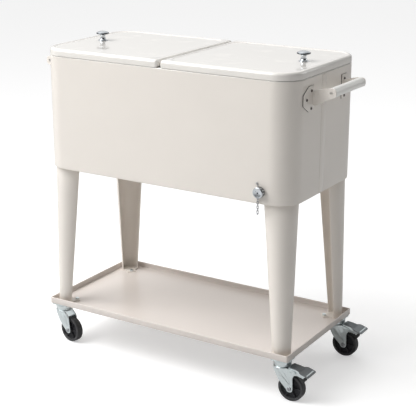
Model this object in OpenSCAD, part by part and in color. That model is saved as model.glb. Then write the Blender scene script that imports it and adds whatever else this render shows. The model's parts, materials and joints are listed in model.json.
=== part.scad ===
// Patio cooler cart: an insulated steel chest with two centre-hinged lids,
// on four tapered legs over a shelf tray with four swivel casters.

/* [Chest] */
// Length of the chest, left to right
body_l = 770; // [700:5:820]
// Depth of the chest, front to back
body_w = 380; // [360:5:420]
// Height of the steel wall between its bottom hem and the lid seam
body_h = 312; // [280:4:340]
// Radius of the four upright corners
body_r = 64; // [50:1:80]
// Thickness of the steel sheet
sheet = 1.2; // [1:0.1:1.6]
// Distance from the outer wall to the inside of the tub
wall = 23; // [20:1:28]

/* [Lids] */
// Height of each lid above the seam
lid_h = 20; // [18:1:24]
// Radius of the rounded top edge of a lid
lid_edge = 9; // [6:1:10]
// Gap between the two lids over the centre bar
lid_gap = 7; // [6:0.5:8]
// Gap between the chest and the closed lids
seam = 1; // [0.8:0.1:1.5]
// Distance of each knob from the middle of the cart
knob_x = 316; // [280:2:330]

/* [Legs and tray] */
// Height of the tray's underside above the floor
tray_z = 114; // [110:1:120]
// Height of the chest's bottom hem above the floor
body_z = 526; // [480:2:560]
// Length of the tray
tray_l = 776; // [760:2:800]
// Depth of the tray
tray_w = 381; // [372:1:400]
// Height of the tray's upturned rim
rim_h = 18; // [14:1:24]
// Outer radius of a leg at the chest
leg_top_r = 44; // [36:1:48]
// Outer radius of a leg at the tray
leg_foot_r = 24; // [20:1:30]

/* [Casters] */
// Radius of a wheel
wheel_r = 36.5; // [34:0.5:37.5]
// Width of a wheel's tread
wheel_w = 20; // [18:1:21]
// Distance of each swivel axis from the middle, along the length
caster_x = 360; // [350:1:360]
// Distance of each swivel axis from the middle, along the depth
caster_y = 162.5; // [150:0.5:162.5]
// Distance of the axle behind the swivel axis
trail = 29; // [26:1:31]

/* [Handles] */
// Distance of each grip's centre line from the middle of the cart
grip_x = 438; // [430:1:445]
// Radius of a grip
grip_r = 12.5; // [11:0.5:13]
// Height of the grips above the floor
grip_z = 802.5; // [795:0.5:806]

/* [Hidden] */

$fn = 64;
e = 0.01;

cream = [0.93, 0.91, 0.87];
zinc = [0.74, 0.77, 0.79];
chrome = [0.85, 0.86, 0.88];
black = [0.07, 0.07, 0.08];
plastic_white = [0.95, 0.95, 0.93];

LEFT = -1;
RIGHT = 1;
FRONT = -1;
REAR = 1;

// Heights above the floor
seam_z = body_z + body_h;
rim_t = 2;
flange_t = 3;
lid_z = seam_z + seam;
lid_top = lid_z + lid_h;
base_z = body_z + sheet;
foam_z = base_z + sheet;
foam_floor = 10;
liner_z = foam_z + foam_floor;
liner_t = 3;
liner_top = seam_z - rim_t;
hem_w = 14;

// Drain
drain_x = 302.5;
drain_z = 559;
spout_r = 9;
spout_bore = 6;
cap_r = 14.3;
cap_front = 17;
cap_gap = 3;
thread_clear = 0.08;

// The spout stands out at the front, so the chest sits this far behind the origin
origin_y = (body_w / 2 + cap_front - tray_w / 2) / 2;

// Hinges
pin_x = 13;
pin_z = lid_z + 9;
pin_r = 2.5;
run_clear = 0.05;
bar_top = 833;
bar_w = 50;
bar_h = 8;
ear_t = 3;
ear_y = [-150, -60, 60, 150];
knuckle_l = 22;

// Leg gutters: the outer flanks stay upright while the section narrows
leg_inset_x = 8.4;
leg_inset_y = 10.9;
leg_t = 2.2;
leg_half_angle = 110;
leg_gap = 1.5;
tray_t = 1.5;
floor_z = tray_z + tray_t;
leg_h = body_z - leg_gap - floor_z;
leg_out_x = body_l / 2 - leg_inset_x;
leg_out_y = body_w / 2 - leg_inset_y;
bolt_r = 3;

// Casters: plate, raceway, fork and axle
plate_t = 2.5;
plate_half = 28;
plate_corner = 14;
bolt_pitch = 20;
race_r = 24;
crown_top = 94;
crown_t = 3;
fork_gap = 27;
fork_t = 2.5;
fork_out = fork_gap / 2 + fork_t;
kingpin_r = 5;
axle_r = 4;
tip_r = 9.5;
pivot_x = 30.6;
pivot_z = 82;
pivot_r = 2.5;
flange_in = 11;
flange_sheet = 2.2;
pad_gap = 3.5;

// Handles
strap_t = 2.6;
pad_t = 1.2;
strap_y = 84;
plate_in = 80;
plate_out = 135;
plate_low = 754;
plate_high = 817;

module placed() translate([0, origin_y, 0]) children();
module mirrored(sx) mirror([sx < 0 ? 1 : 0, 0, 0]) children();

// Outline shapes -----------------------------------------------------------

// Rectangle with round corners, built from squares and circles so that it stays exact
module round_rect(l, w, r) {
  square([l - 2 * r, w], center = true);
  square([l, w - 2 * r], center = true);
  for (x = [-1, 1], y = [-1, 1]) translate([x * (l / 2 - r), y * (w / 2 - r)]) circle(r);
}

module round_slab(l, w, r, h) linear_extrude(h) round_rect(l, w, r);

// Upright wall of thickness t that follows a round-cornered rectangle
module round_wall(l, w, r, t, h) difference() {
  round_slab(l, w, r, h);
  translate([0, 0, -1]) round_slab(l - 2 * t, w - 2 * t, max(r - t, 1), h + 2);
}

// Rod along Y
module rod_y(r, l) rotate([90, 0, 0]) cylinder(r = r, h = l, center = true);

// Flat outline in X and Z, given a thickness along Y from y0 to y1
module side_plate(y0, y1) translate([0, y1, 0]) rotate([90, 0, 0]) linear_extrude(y1 - y0) children();

// Chest --------------------------------------------------------------------

module body_shell() placed() color(cream) difference() {
  union() {
    translate([0, 0, body_z]) round_wall(body_l, body_w, body_r, sheet, liner_top - body_z);
    translate([0, 0, body_z]) round_wall(body_l, body_w, body_r, hem_w, sheet);
  }
  drain_hole();
}

module drain_hole() translate([drain_x, -body_w / 2, drain_z]) rod_y(spout_r + run_clear, 3 * wall);

module body_base() placed() color(cream) difference() {
  translate([0, 0, base_z]) round_slab(body_l - 2 * sheet, body_w - 2 * sheet, body_r - sheet, sheet);
  each_top_bolt() translate([0, 0, body_z - 1]) cylinder(r = bolt_r + 0.2, h = 5);
}

liner_l = body_l - 2 * wall + 2 * liner_t;
liner_w = body_w - 2 * wall + 2 * liner_t;
liner_r = body_r - wall + liner_t;

module foam_insulation() placed() color([0.95, 0.9, 0.7]) difference() {
  translate([0, 0, foam_z])
    round_slab(body_l - 2 * sheet, body_w - 2 * sheet, body_r - sheet, liner_top - flange_t - foam_z);
  translate([0, 0, liner_z]) round_slab(liner_l, liner_w, liner_r, body_h);
  drain_hole();
}

module inner_liner() placed() color(plastic_white) difference() {
  union() {
    translate([0, 0, liner_z]) round_slab(liner_l, liner_w, liner_r, liner_top - liner_z);
    translate([0, 0, liner_top - flange_t])
      round_slab(body_l - 2 * sheet, body_w - 2 * sheet, body_r - sheet, flange_t);
  }
  translate([0, 0, liner_z + liner_t])
    round_slab(liner_l - 2 * liner_t, liner_w - 2 * liner_t, liner_r - liner_t, body_h);
  drain_hole();
}

// Frame that caps the top edge of the wall and reaches over the liner's flange
module rim_frame() placed() color(cream) translate([0, 0, liner_top])
  round_wall(body_l, body_w, body_r, wall - 2, rim_t);

// Bar across the tub that carries the ears of both lid hinges
module centre_bar() placed() color(zinc) difference() {
  union() {
    translate([-bar_w / 2, -liner_w / 2 + liner_t, bar_top - bar_h])
      cube([bar_w, liner_w - 2 * liner_t, bar_h]);
    for (s = [LEFT, RIGHT], y = ear_y) hinge_ear(s * pin_x, y);
  }
  translate([-bar_w / 2 + 2, -liner_w / 2, bar_top - bar_h - 1]) cube([bar_w - 4, liner_w, bar_h - 1]);
  for (s = [LEFT, RIGHT]) translate([s * pin_x, 0, pin_z]) rod_y(pin_r + run_clear / 2, body_w);
}

module hinge_ear(x, y) translate([x, y, pin_z]) {
  rod_y(5, ear_t);
  translate([-5, -ear_t / 2, bar_top - pin_z - e]) cube([10, ear_t, pin_z - bar_top]);
}

module hinge_pins() placed() color(chrome) for (s = [LEFT, RIGHT])
  translate([s * pin_x, 0, pin_z]) rod_y(pin_r, 2 * ear_y[3] + 24);

// Legs ---------------------------------------------------------------------

function arc(cx, cy, r, a0, a1, n) = [for (i = [0:n]) let (a = a0 + (a1 - a0) * i / n)
  [cx + r * cos(a), cy + r * sin(a)]];

// Section of a leg at the chest, with the outer corner of its bounding square at the origin
module leg_section() {
  c = -leg_top_r;
  polygon(concat(
    arc(c, c, leg_top_r, 45 - leg_half_angle, 45 + leg_half_angle, 40),
    arc(c, c, leg_top_r - leg_t, 45 + leg_half_angle, 45 - leg_half_angle, 40)
  ));
}

module leg(sx, sy) placed() color(cream)
  translate([sx * leg_out_x, sy * leg_out_y, body_z - leg_gap])
    mirror([sx < 0 ? 1 : 0, 0, 0]) mirror([0, sy < 0 ? 1 : 0, 0]) mirror([0, 0, 1])
      linear_extrude(leg_h, scale = leg_foot_r / leg_top_r) leg_section();

module leg_front_left() leg(LEFT, FRONT);
module leg_front_right() leg(RIGHT, FRONT);
module leg_rear_left() leg(LEFT, REAR);
module leg_rear_right() leg(RIGHT, REAR);

module each_leg() for (sx = [LEFT, RIGHT], sy = [FRONT, REAR])
  translate([sx * leg_out_x, sy * leg_out_y, 0]) mirror([sx < 0 ? 1 : 0, 0, 0]) mirror([0, sy < 0 ? 1 : 0, 0])
    children();

top_plate_r = leg_top_r - leg_t - 0.5;
top_plate_t = 3;
foot_plate_r = leg_foot_r - leg_t;
foot_plate_t = 3;
top_bolt_at = 16;
foot_bolt_at = 28;

module each_top_bolt() each_leg() translate([-leg_top_r, -leg_top_r, 0])
  for (a = [-45, 135]) rotate(a) translate([top_bolt_at, 0, 0]) children();

module leg_top_plates() placed() color(cream) difference() {
  each_leg() translate([-leg_top_r, -leg_top_r, body_z - top_plate_t]) cylinder(r = top_plate_r, h = top_plate_t);
  each_top_bolt() translate([0, 0, body_z - top_plate_t - 1]) cylinder(r = bolt_r + 0.2, h = top_plate_t + 2);
}

module leg_foot_plates() placed() color(cream) each_leg()
  translate([-leg_foot_r, -leg_foot_r, floor_z]) difference() {
    union() {
      cylinder(r = foot_plate_r, h = foot_plate_t);
      rotate(225) translate([0, -12, 0]) cube([34, 24, foot_plate_t]);
    }
    rotate(225) translate([foot_bolt_at, 0, -1]) cylinder(r = bolt_r + 0.2, h = foot_plate_t + 2);
  }

// Hexagon-headed bolt standing on z = 0 with its shank below
module bolt(length) {
  cylinder(r = 5.5, h = 4, $fn = 6);
  translate([0, 0, -length]) cylinder(r = bolt_r, h = length + e);
}

module leg_bolts() placed() color(zinc) {
  each_leg() translate([-leg_foot_r, -leg_foot_r, floor_z + foot_plate_t]) rotate(225) translate([foot_bolt_at, 0, 0])
    bolt(foot_plate_t + tray_t);
  each_top_bolt() translate([0, 0, body_z - top_plate_t]) mirror([0, 0, 1]) bolt(top_plate_t + 2 * sheet);
}

// Tray ---------------------------------------------------------------------

hem_t = 3;
hem_h = 5;
tray_r = 4;

module tray() placed() color(cream) difference() {
  union() {
    translate([0, 0, tray_z]) round_slab(tray_l, tray_w, tray_r, tray_t);
    translate([0, 0, tray_z]) round_wall(tray_l, tray_w, tray_r, tray_t, rim_h);
    translate([0, 0, tray_z + rim_h - hem_h]) round_wall(tray_l, tray_w, tray_r, hem_t, hem_h);
  }
  each_caster_bolt() translate([0, 0, tray_z - 1]) cylinder(r = bolt_r + 0.2, h = tray_t + 2);
  each_leg() translate([-leg_foot_r, -leg_foot_r, tray_z - 1]) rotate(225) translate([foot_bolt_at, 0, 0])
    cylinder(r = bolt_r + 0.2, h = tray_t + 2);
}

// Casters ------------------------------------------------------------------

// Resting direction of each fork, turned about its swivel axis
function caster_yaw(sx, sy) = sx > 0 ? 0 : (sy < 0 ? -9.5 : 6);

module at_caster(sx, sy) translate([sx * caster_x, sy * caster_y, 0]) children();
module at_fork(sx, sy) at_caster(sx, sy) rotate(caster_yaw(sx, sy)) children();

module each_caster_bolt() for (sx = [LEFT, RIGHT], sy = [FRONT, REAR], x = [-1, 1], y = [-1, 1])
  at_caster(sx, sy) translate([x * bolt_pitch, y * bolt_pitch, 0]) children();

race_low = 100;
plate_low_z = tray_z - plate_t;
head_top = crown_top - crown_t - 0.3;

module caster_plate(sx, sy) placed() color(zinc) at_caster(sx, sy) {
  difference() {
    translate([0, 0, tray_z - plate_t]) round_slab(2 * plate_half, 2 * plate_half, plate_corner, plate_t);
    for (x = [-1, 1], y = [-1, 1]) translate([x * bolt_pitch, y * bolt_pitch, tray_z - plate_t - 1])
      cylinder(r = bolt_r + 0.2, h = plate_t + 2);
  }
  // raceway cup under the plate, open below for the fork's ring
  rotate_extrude() polygon([
    [kingpin_r - e, plate_low_z + e], [16, plate_low_z + e], [race_r, plate_low_z - 3], [race_r, race_low],
    [race_r - 3, race_low], [race_r - 3, plate_low_z - 5], [14, plate_low_z - 3], [kingpin_r - e, plate_low_z - 3]
  ]);
  // kingpin with its riveted head
  translate([0, 0, head_top - e]) cylinder(r = kingpin_r, h = tray_z - plate_t - head_top);
  translate([0, 0, head_top - 4]) cylinder(r = 9, h = 4);
}

module caster_plate_front_left() caster_plate(LEFT, FRONT);
module caster_plate_front_right() caster_plate(RIGHT, FRONT);
module caster_plate_rear_left() caster_plate(LEFT, REAR);
module caster_plate_rear_right() caster_plate(RIGHT, REAR);

// Bolts from below, their ends flush with the tray's floor
module caster_bolts() placed() color(zinc) each_caster_bolt() {
  translate([0, 0, plate_low_z - 2.5]) cylinder(r = 4.5, h = 2.5);
  translate([0, 0, plate_low_z - e]) cylinder(r = bolt_r, h = floor_z - plate_low_z + e);
}

// Outline of a fork leg in X and Z, measured from the swivel axis and the floor
module fork_outline(braked) {
  front = [[-17, crown_top], [-18, 83], [-2, 55], [trail - 8.8, wheel_r - 3.5]];
  plain_back = [[trail + tip_r, wheel_r], [34, 72], [30, 81], [20, 89], [8, crown_top]];
  braked_back = [[trail + tip_r, wheel_r], [37, 72], [44.5, 79], [46, 86], [38, 91.5], [14, crown_top]];
  polygon(concat(front, braked ? braked_back : plain_back));
  translate([trail, wheel_r]) circle(tip_r);
}

module fork(sx, sy, braked) placed() color(zinc) at_fork(sx, sy) difference() {
  union() {
    translate([0, 0, crown_top - crown_t]) cylinder(r = race_r, h = crown_t);
    translate([0, -fork_out, crown_top - crown_t]) cube([braked ? 22 : 18, 2 * fork_out, crown_t]);
    for (s = [-1, 1]) side_plate(s > 0 ? fork_gap / 2 : -fork_out, s > 0 ? fork_out : -fork_gap / 2)
      fork_outline(braked);
    // rolled front of the crown
    difference() {
      translate([0, 0, 83]) cylinder(r = race_r, h = crown_top - 83);
      translate([0, 0, 82]) cylinder(r = race_r - fork_t, h = crown_top);
      translate([-14, -race_r - 1, 80]) cube([60, 2 * race_r + 2, 20]);
    }
    // inner ring of the swivel bearing
    translate([0, 0, crown_top - e]) difference() {
      cylinder(r = race_r - 3.5, h = 10);
      translate([0, 0, 2]) cylinder(r = race_r - 6, h = 10);
    }
    if (braked) translate([pivot_x, 0, pivot_z]) rod_y(pivot_r, 2 * fork_out + 2);
  }
  translate([0, 0, 80]) cylinder(r = kingpin_r + run_clear, h = 30);
  translate([trail, 0, wheel_r]) rod_y(axle_r + 0.02, 3 * fork_out);
}

module caster_fork_front_left() fork(LEFT, FRONT, false);
module caster_fork_front_right() fork(RIGHT, FRONT, true);
module caster_fork_rear_left() fork(LEFT, REAR, false);
module caster_fork_rear_right() fork(RIGHT, REAR, true);

module axle(sx, sy) placed() color(zinc) at_fork(sx, sy) translate([trail, 0, wheel_r]) {
  rod_y(axle_r, 2 * fork_out + 2);
  translate([0, -fork_out - 1, 0]) difference() {
    rod_y(6, 2);
    translate([0, -1, 0]) rod_y(2.2, 2);
  }
  translate([0, fork_out + 2, 0]) rotate([90, 0, 0]) cylinder(r = 6.5, h = 4, center = true, $fn = 6);
}

module axle_front_left() axle(LEFT, FRONT);
module axle_front_right() axle(RIGHT, FRONT);
module axle_rear_left() axle(LEFT, REAR);
module axle_rear_right() axle(RIGHT, REAR);

tread_t = 7.5;
web_t = 6;
hub_r = 10;
hub_w = 25;

// Moulded wheel turned about its axle: crowned tread, thin web, hub and six ribs
module wheel(sx, sy) placed() color(black) at_fork(sx, sy) translate([trail, 0, wheel_r]) rotate([90, 0, 0])
  difference() {
    union() {
      rotate_extrude($fn = 96) polygon([
        [wheel_r - tread_t, -wheel_w / 2], [wheel_r - 2, -wheel_w / 2], [wheel_r, -wheel_w / 4],
        [wheel_r, wheel_w / 4], [wheel_r - 2, wheel_w / 2], [wheel_r - tread_t, wheel_w / 2]
      ]);
      cylinder(r = wheel_r - tread_t + e, h = web_t, center = true);
      cylinder(r = hub_r, h = hub_w, center = true);
      for (a = [0:60:300]) rotate(a) translate([hub_r - 1, -1.1, -wheel_w / 2 + 2])
        cube([wheel_r - tread_t - hub_r + 1.5, 2.2, wheel_w - 4]);
    }
    cylinder(r = axle_r + run_clear, h = hub_w + 2, center = true);
  }

module wheel_front_left() wheel(LEFT, FRONT);
module wheel_front_right() wheel(RIGHT, FRONT);
module wheel_rear_left() wheel(LEFT, REAR);
module wheel_rear_right() wheel(RIGHT, REAR);

// Brakes -------------------------------------------------------------------

pedal_t = 2;

// Foot plate in side view: a gentle bend down towards its tip
module pedal_profile() {
  top = [[26, 99], [46, 97], [74, 90], [82, 87], [87, 86]];
  low = [for (i = [4:-1:0]) [top[i][0], top[i][1] - pedal_t]];
  polygon(concat(top, low));
}

module pedal_flange() difference() {
  union() {
    polygon([[26, 97.5], [46, 95.5], [72, 89], [72, 78], [66, 73], [56, 76], [40, 75], [26, 78]]);
    translate([pivot_x, pivot_z]) circle(6);
  }
  translate([pivot_x, pivot_z]) circle(pivot_r + run_clear);
}

module brake_pedal(sy) placed() color(zinc) at_fork(RIGHT, sy) {
  side_plate(-15, 15) pedal_profile();
  // wide tread at the tip
  intersection() {
    side_plate(-24, 24) pedal_profile();
    translate([54, -30, 60]) cube([60, 60, 60]);
  }
  side_plate(-flange_in - flange_sheet, -flange_in) pedal_flange();
  side_plate(flange_in, flange_in + flange_sheet) pedal_flange();
}

module brake_pedal_front() brake_pedal(FRONT);
module brake_pedal_rear() brake_pedal(REAR);

// Rubber block that the pedal presses on the tread, curved to match it
module brake_pad(sy) placed() color(black) at_fork(RIGHT, sy) side_plate(-flange_in, flange_in) difference() {
  polygon([[50, 82], [50, 70], [58, 58], [66, 58], [71, 76], [68, 82]]);
  translate([trail, wheel_r]) circle(wheel_r + pad_gap);
}

module brake_pad_front() brake_pad(FRONT);
module brake_pad_rear() brake_pad(REAR);

// Handles ------------------------------------------------------------------

// Half-octagon mounting plate in Y and Z, for the positive Y side
module handle_plate(x, t) translate([x, 0, 0]) rotate([90, 0, 90]) linear_extrude(t) difference() {
  polygon([[plate_in, plate_low], [107, plate_low], [plate_out, 772], [plate_out, 799], [107, plate_high],
    [plate_in, plate_high]]);
  for (p = screw_at) translate(p) circle(screw_r + 0.1);
}

module each_handle() for (sx = [LEFT, RIGHT]) mirrored(sx) for (m = [0, 1]) mirror([0, m, 0]) children();

// Thin rubber pads between the mounting plates and the painted wall
module handle_pads() placed() color(black) each_handle() handle_plate(body_l / 2, pad_t);

screw_at = [[94, 805], [119, 785.5], [94, 761]];
screw_r = 2.2;

// Arm in side view: it climbs from the plate to the grip and narrows to the grip's size
module strap_outline() {
  polygon([[body_l / 2 + pad_t, 767], [398, 768.5], [414, 777], [grip_x + 4, grip_z - grip_r - 0.4],
    [grip_x - 4, grip_z + grip_r], [414, 810.5], [body_l / 2 + pad_t, 803]]);
  translate([grip_x, grip_z]) circle(grip_r);
}

module handle_arm() difference() {
  side_plate(strap_y, strap_y + strap_t) strap_outline();
  translate([grip_x, strap_y, grip_z]) rod_y(axle_r + run_clear, 4 * strap_t);
}

module handle_brackets(sx) placed() color(cream) mirrored(sx) for (m = [0, 1]) mirror([0, m, 0]) {
  handle_plate(body_l / 2 + pad_t, strap_t - pad_t);
  handle_arm();
}

module handle_brackets_left() handle_brackets(LEFT);
module handle_brackets_right() handle_brackets(RIGHT);

module handle_grip(sx) placed() color(cream) translate([sx * grip_x, 0, grip_z]) difference() {
  rod_y(grip_r, 2 * strap_y);
  rod_y(axle_r + run_clear, 2 * strap_y + 2);
}

module handle_grip_left() handle_grip(LEFT);
module handle_grip_right() handle_grip(RIGHT);

module handle_rods() placed() color(zinc) for (s = [LEFT, RIGHT])
  translate([s * grip_x, 0, grip_z]) rod_y(axle_r, 2 * (strap_y + strap_t));

module handle_screws() placed() color(chrome) for (s = [LEFT, RIGHT], m = [-1, 1], p = screw_at)
  translate([s * (body_l / 2 + strap_t), m * p[0], p[1]]) rotate([0, s * 90, 0]) {
    difference() {
      cylinder(r1 = 4, r2 = 3, h = 1.8);
      translate([0, 0, 0.8]) cylinder(r = 1.4, h = 2, $fn = 6);
    }
    translate([0, 0, -strap_t]) cylinder(r = screw_r, h = strap_t + e);
  }

// Drain --------------------------------------------------------------------

module at_drain() translate([drain_x, -body_w / 2, drain_z]) children();

spout_out = 12;
spout_in = wall + 10;

// Tube from inside the tub to just inside the cap
module drain_spout() placed() color(plastic_white) at_drain() rotate([-90, 0, 0]) difference() {
  translate([0, 0, -spout_out]) cylinder(r = spout_r, h = spout_out + spout_in);
  translate([0, 0, -spout_out - 1]) cylinder(r = spout_bore, h = spout_out + spout_in + 2);
}

module drain_ring(y, h, r) at_drain() translate([0, y, 0]) rotate([-90, 0, 0]) difference() {
  cylinder(r = r, h = h, $fn = r > 13 ? 6 : 64);
  translate([0, 0, -1]) cylinder(r = spout_r + run_clear / 2, h = h + 2);
}

module drain_nut() placed() color(plastic_white) drain_ring(wall + 2, 6, 15);
module drain_gasket() placed() color(black) drain_ring(wall, 2, 12.5);

// Screw cap with a finger-grip rim and a small vent dimple
module drain_cap() placed() color(chrome) at_drain() rotate([90, 0, 0]) difference() {
  union() {
    translate([0, 0, cap_gap]) cylinder(r = cap_r, h = cap_front - cap_gap - 2);
    translate([0, 0, cap_front - 2]) cylinder(r1 = cap_r, r2 = cap_r - 2, h = 2);
  }
  translate([0, 0, -1]) cylinder(r = spout_r + thread_clear, h = spout_out + 2);
  translate([0, 0, cap_front - 1.5]) cylinder(r = 2, h = 2);
  for (a = [0:30:330]) rotate(a) translate([cap_r + 0.8, 0, 0]) cylinder(r = 1.4, h = cap_front + 1, $fn = 16);
}

link_wire = 0.8;
link_r = 2.4;
link_l = 3;
link_pitch = 6.1;
link_count = 6;
link_play = 0.45;
eye_wire = 0.7;
stem_wire = 0.6;
eye_r = 2.2;

// Centre of the lower eye, about which the chain swings, measured from the drain's centre at the wall
chain_at = [-5, -5, -17.3];

// Round wire ring about the Z axis
module wire_ring(r, wire) rotate_extrude($fn = 24) translate([r, 0]) circle(wire, $fn = 12);

// One oval link in the X and Z plane, its top wire centred on z = 0
module chain_link() rotate([90, 0, 0]) translate([0, 0, -link_wire]) linear_extrude(2 * link_wire) difference() {
  link_shape(link_r + link_wire);
  link_shape(link_r - link_wire);
}

module link_shape(r) {
  for (drop = [0, link_l]) translate([0, -link_r - drop]) circle(r, $fn = 32);
  translate([-r, -link_r - link_l]) square([2 * r, link_l]);
}

// Chain that hangs from the lower eye of the wire, its links turned crosswise in turn
module drain_chain() placed() color(chrome) at_drain() translate(chain_at)
  translate([0, 0, link_wire + eye_wire + link_play - eye_r]) {
    for (i = [0:link_count - 1]) translate([0, 0, -i * link_pitch]) rotate((i + 1) % 2 * 90) chain_link();
    translate([0, 0, -link_count * link_pitch - 2.6]) sphere(2.6, $fn = 24);
  }

// Wire round the neck of the spout, with an upper eye and a lower eye for the chain
module drain_wire() placed() color(chrome) at_drain() {
  translate([0, -1.6, 0]) rotate([90, 0, 0]) wire_ring(spout_r + 1.2, 0.9);
  translate([-5.6, -1.75, 9]) rotate([0, -20, 30]) rotate([0,0,20]) cylinder(r = stem_wire, h = 9.5);
  translate([-9.5, -1.6, 20]) rotate([90, 0, 0]) wire_ring(eye_r, 0.8);
  translate([chain_at.x, -1.85, chain_at.z + eye_r - 0.9]) rotate(40) cylinder(r = stem_wire, h = 8);
  translate([chain_at.x + 0.1, -1, chain_at.z + eye_r]) rotate([90, 25, 0]) cylinder(r = 0.55, h = 4.6);
  translate(chain_at) rotate([90, 0, 0]) wire_ring(eye_r, eye_wire);
}

// Lids ---------------------------------------------------------------------

lid_l = (body_l - lid_gap) / 2;
lid_mid = lid_gap / 2 + lid_l / 2;
panel_drop = 2;
panel_inset = 14;

// Outline of the right lid: round at the outer corners, nearly square at the middle
module lid_outline(inset) {
  r = body_r - inset;
  q = max(lid_edge - inset, 1);
  x0 = lid_gap / 2 + inset;
  x1 = body_l / 2 - inset;
  h = body_w / 2 - inset;
  translate([x0 + q, -h]) square([x1 - x0 - q - r, 2 * h]);
  translate([x0, -h + q]) square([x1 - x0 - r, 2 * (h - q)]);
  translate([x0 + q, -h + r]) square([x1 - x0 - q, 2 * (h - r)]);
  for (s = [-1, 1]) {
    translate([x1 - r, s * (h - r)]) circle(r);
    translate([x0 + q, s * (h - q)]) circle(q);
  }
}

// Solid form of the right lid, its top edge stepped down in a round-over of short chords
module lid_form(inset) {
  steps = 6;
  r = lid_edge - inset;
  z0 = lid_top - lid_edge;
  translate([0, 0, lid_z]) linear_extrude(z0 - lid_z) lid_outline(inset);
  for (i = [0:steps - 1]) {
    a0 = 90 * i / steps;
    a1 = 90 * (i + 1) / steps;
    mid = (a0 + a1) / 2;
    translate([0, 0, z0 + r * sin(a0) - e]) linear_extrude(r * (sin(a1) - sin(a0)) + e)
      lid_outline(inset + r * (1 - cos(mid)));
  }
}

module panel_cut(inset, depth) translate([lid_mid, 0, lid_top - depth])
  round_slab(lid_l - 2 * inset, body_w - 2 * inset, 40, lid_h);

// What the inner edge of a lid would sweep through below its pins, cut away so that it clears the frame
module hinge_sweep() difference() {
  translate([0, -body_w, lid_z - 1]) cube([pin_x, 2 * body_w, pin_z - lid_z + 1]);
  translate([pin_x, 0, pin_z]) rod_y(sweep_r, 2 * body_w + 2);
}

sweep_r = 9.7;

module ear_slots() for (y = ear_y) translate([0, y - ear_t / 2 - 1.5, lid_z - 12])
  cube([pin_x + 8, ear_t + 3, pin_z + 6.5 - lid_z + 12]);

module lid_skin(sx) placed() color(cream) mirrored(sx) difference() {
  lid_form(0);
  panel_cut(panel_inset, panel_drop);
  knob_hole();
  difference() {
    translate([0, 0, -e]) lid_form(sheet);
    panel_cut(panel_inset - sheet, panel_drop + sheet);
  }
  ear_slots();
  hinge_sweep();
}

module lid_skin_left() lid_skin(LEFT);
module lid_skin_right() lid_skin(RIGHT);

lid_liner_t = 4;
lid_foam_x = 32;
plug_drop = 10;
plug_inset = wall + 8;

module lid_foam(sx) placed() color([0.95, 0.9, 0.7]) mirrored(sx) difference() {
  intersection() {
    translate([0, 0, lid_z + lid_liner_t]) linear_extrude(lid_h - lid_liner_t - panel_drop - sheet)
      lid_outline(lid_edge);
    translate([lid_foam_x, -body_w, 0]) cube([body_l, 2 * body_w, 2 * body_z]);
  }
  knob_hole();
}

// Hole for a knob's screw, clear of the liner below
module knob_hole() translate([knob_x, 0, lid_z + lid_liner_t]) cylinder(r = bolt_r + 0.2, h = lid_h);

module lid_foam_left() lid_foam(LEFT);
module lid_foam_right() lid_foam(RIGHT);

// Underside of a lid: a panel, a shallow plug that fits in the tub, and the hinge knuckles
module lid_liner(sx) placed() color(plastic_white) mirrored(sx) difference() {
  union() {
    translate([0, 0, lid_z]) linear_extrude(lid_liner_t) lid_outline(sheet + 0.3);
    translate([(bar_w / 2 + 8 + body_l / 2 - plug_inset) / 2, 0, lid_z - plug_drop])
      round_wall(body_l / 2 - plug_inset - bar_w / 2 - 8, body_w - 2 * plug_inset, 26, liner_t, plug_drop + 1);
    for (y = ear_y) translate([pin_x, y + (y < 0 ? 1 : -1) * (ear_t / 2 + 0.6 + knuckle_l / 2), pin_z]) {
      rod_y(5.5, knuckle_l);
      translate([-4, -knuckle_l / 2, lid_z - pin_z]) cube([8, knuckle_l, pin_z - lid_z]);
    }
  }
  ear_slots();
  hinge_sweep();
  translate([pin_x, 0, pin_z]) rod_y(pin_r + run_clear, body_w);
}

module lid_liner_left() lid_liner(LEFT);
module lid_liner_right() lid_liner(RIGHT);

module lid_gasket(sx) placed() color([0.8, 0.8, 0.78]) mirrored(sx)
  translate([(bar_w / 2 + 2 + body_l / 2 - wall + 6) / 2, 0, seam_z + 0.3])
    round_wall(body_l / 2 - wall + 6 - bar_w / 2 - 2, body_w - 2 * wall + 12, 36, 4, seam - 0.3);

module lid_gasket_left() lid_gasket(LEFT);
module lid_gasket_right() lid_gasket(RIGHT);

// Mushroom knob turned about its own axis, with a screw into the lid
module knob(sx) placed() color(chrome) translate([sx * knob_x, 0, lid_top - panel_drop]) {
  rotate_extrude() polygon([
    [0, 0], [13, 0], [13, 1.5], [9.5, 3.5], [8, 8], [8, 14], [10, 17], [16.5, 18.5], [18, 20.5], [17.2, 22.8],
    [14, 25], [8, 26.6], [0, 27]
  ]);
  translate([0, 0, -sheet - 9]) cylinder(r = bolt_r, h = sheet + 9 + e);
}

module knob_left() knob(LEFT);
module knob_right() knob(RIGHT);

// Assembly -----------------------------------------------------------------

body_shell();
body_base();
foam_insulation();
inner_liner();
rim_frame();
centre_bar();
hinge_pins();
leg_front_left();
leg_front_right();
leg_rear_left();
leg_rear_right();
leg_top_plates();
leg_foot_plates();
leg_bolts();
tray();
caster_plate_front_left();
caster_plate_front_right();
caster_plate_rear_left();
caster_plate_rear_right();
caster_bolts();
caster_fork_front_left();
caster_fork_front_right();
caster_fork_rear_left();
caster_fork_rear_right();
axle_front_left();
axle_front_right();
axle_rear_left();
axle_rear_right();
wheel_front_left();
wheel_front_right();
wheel_rear_left();
wheel_rear_right();
brake_pedal_front();
brake_pedal_rear();
brake_pad_front();
brake_pad_rear();
handle_pads();
handle_brackets_left();
handle_brackets_right();
handle_grip_left();
handle_grip_right();
handle_rods();
handle_screws();
drain_spout();
drain_nut();
drain_gasket();
drain_cap();
drain_chain();
drain_wire();
lid_skin_left();
lid_skin_right();
lid_foam_left();
lid_foam_right();
lid_liner_left();
lid_liner_right();
lid_gasket_left();
lid_gasket_right();
knob_left();
knob_right();
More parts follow.
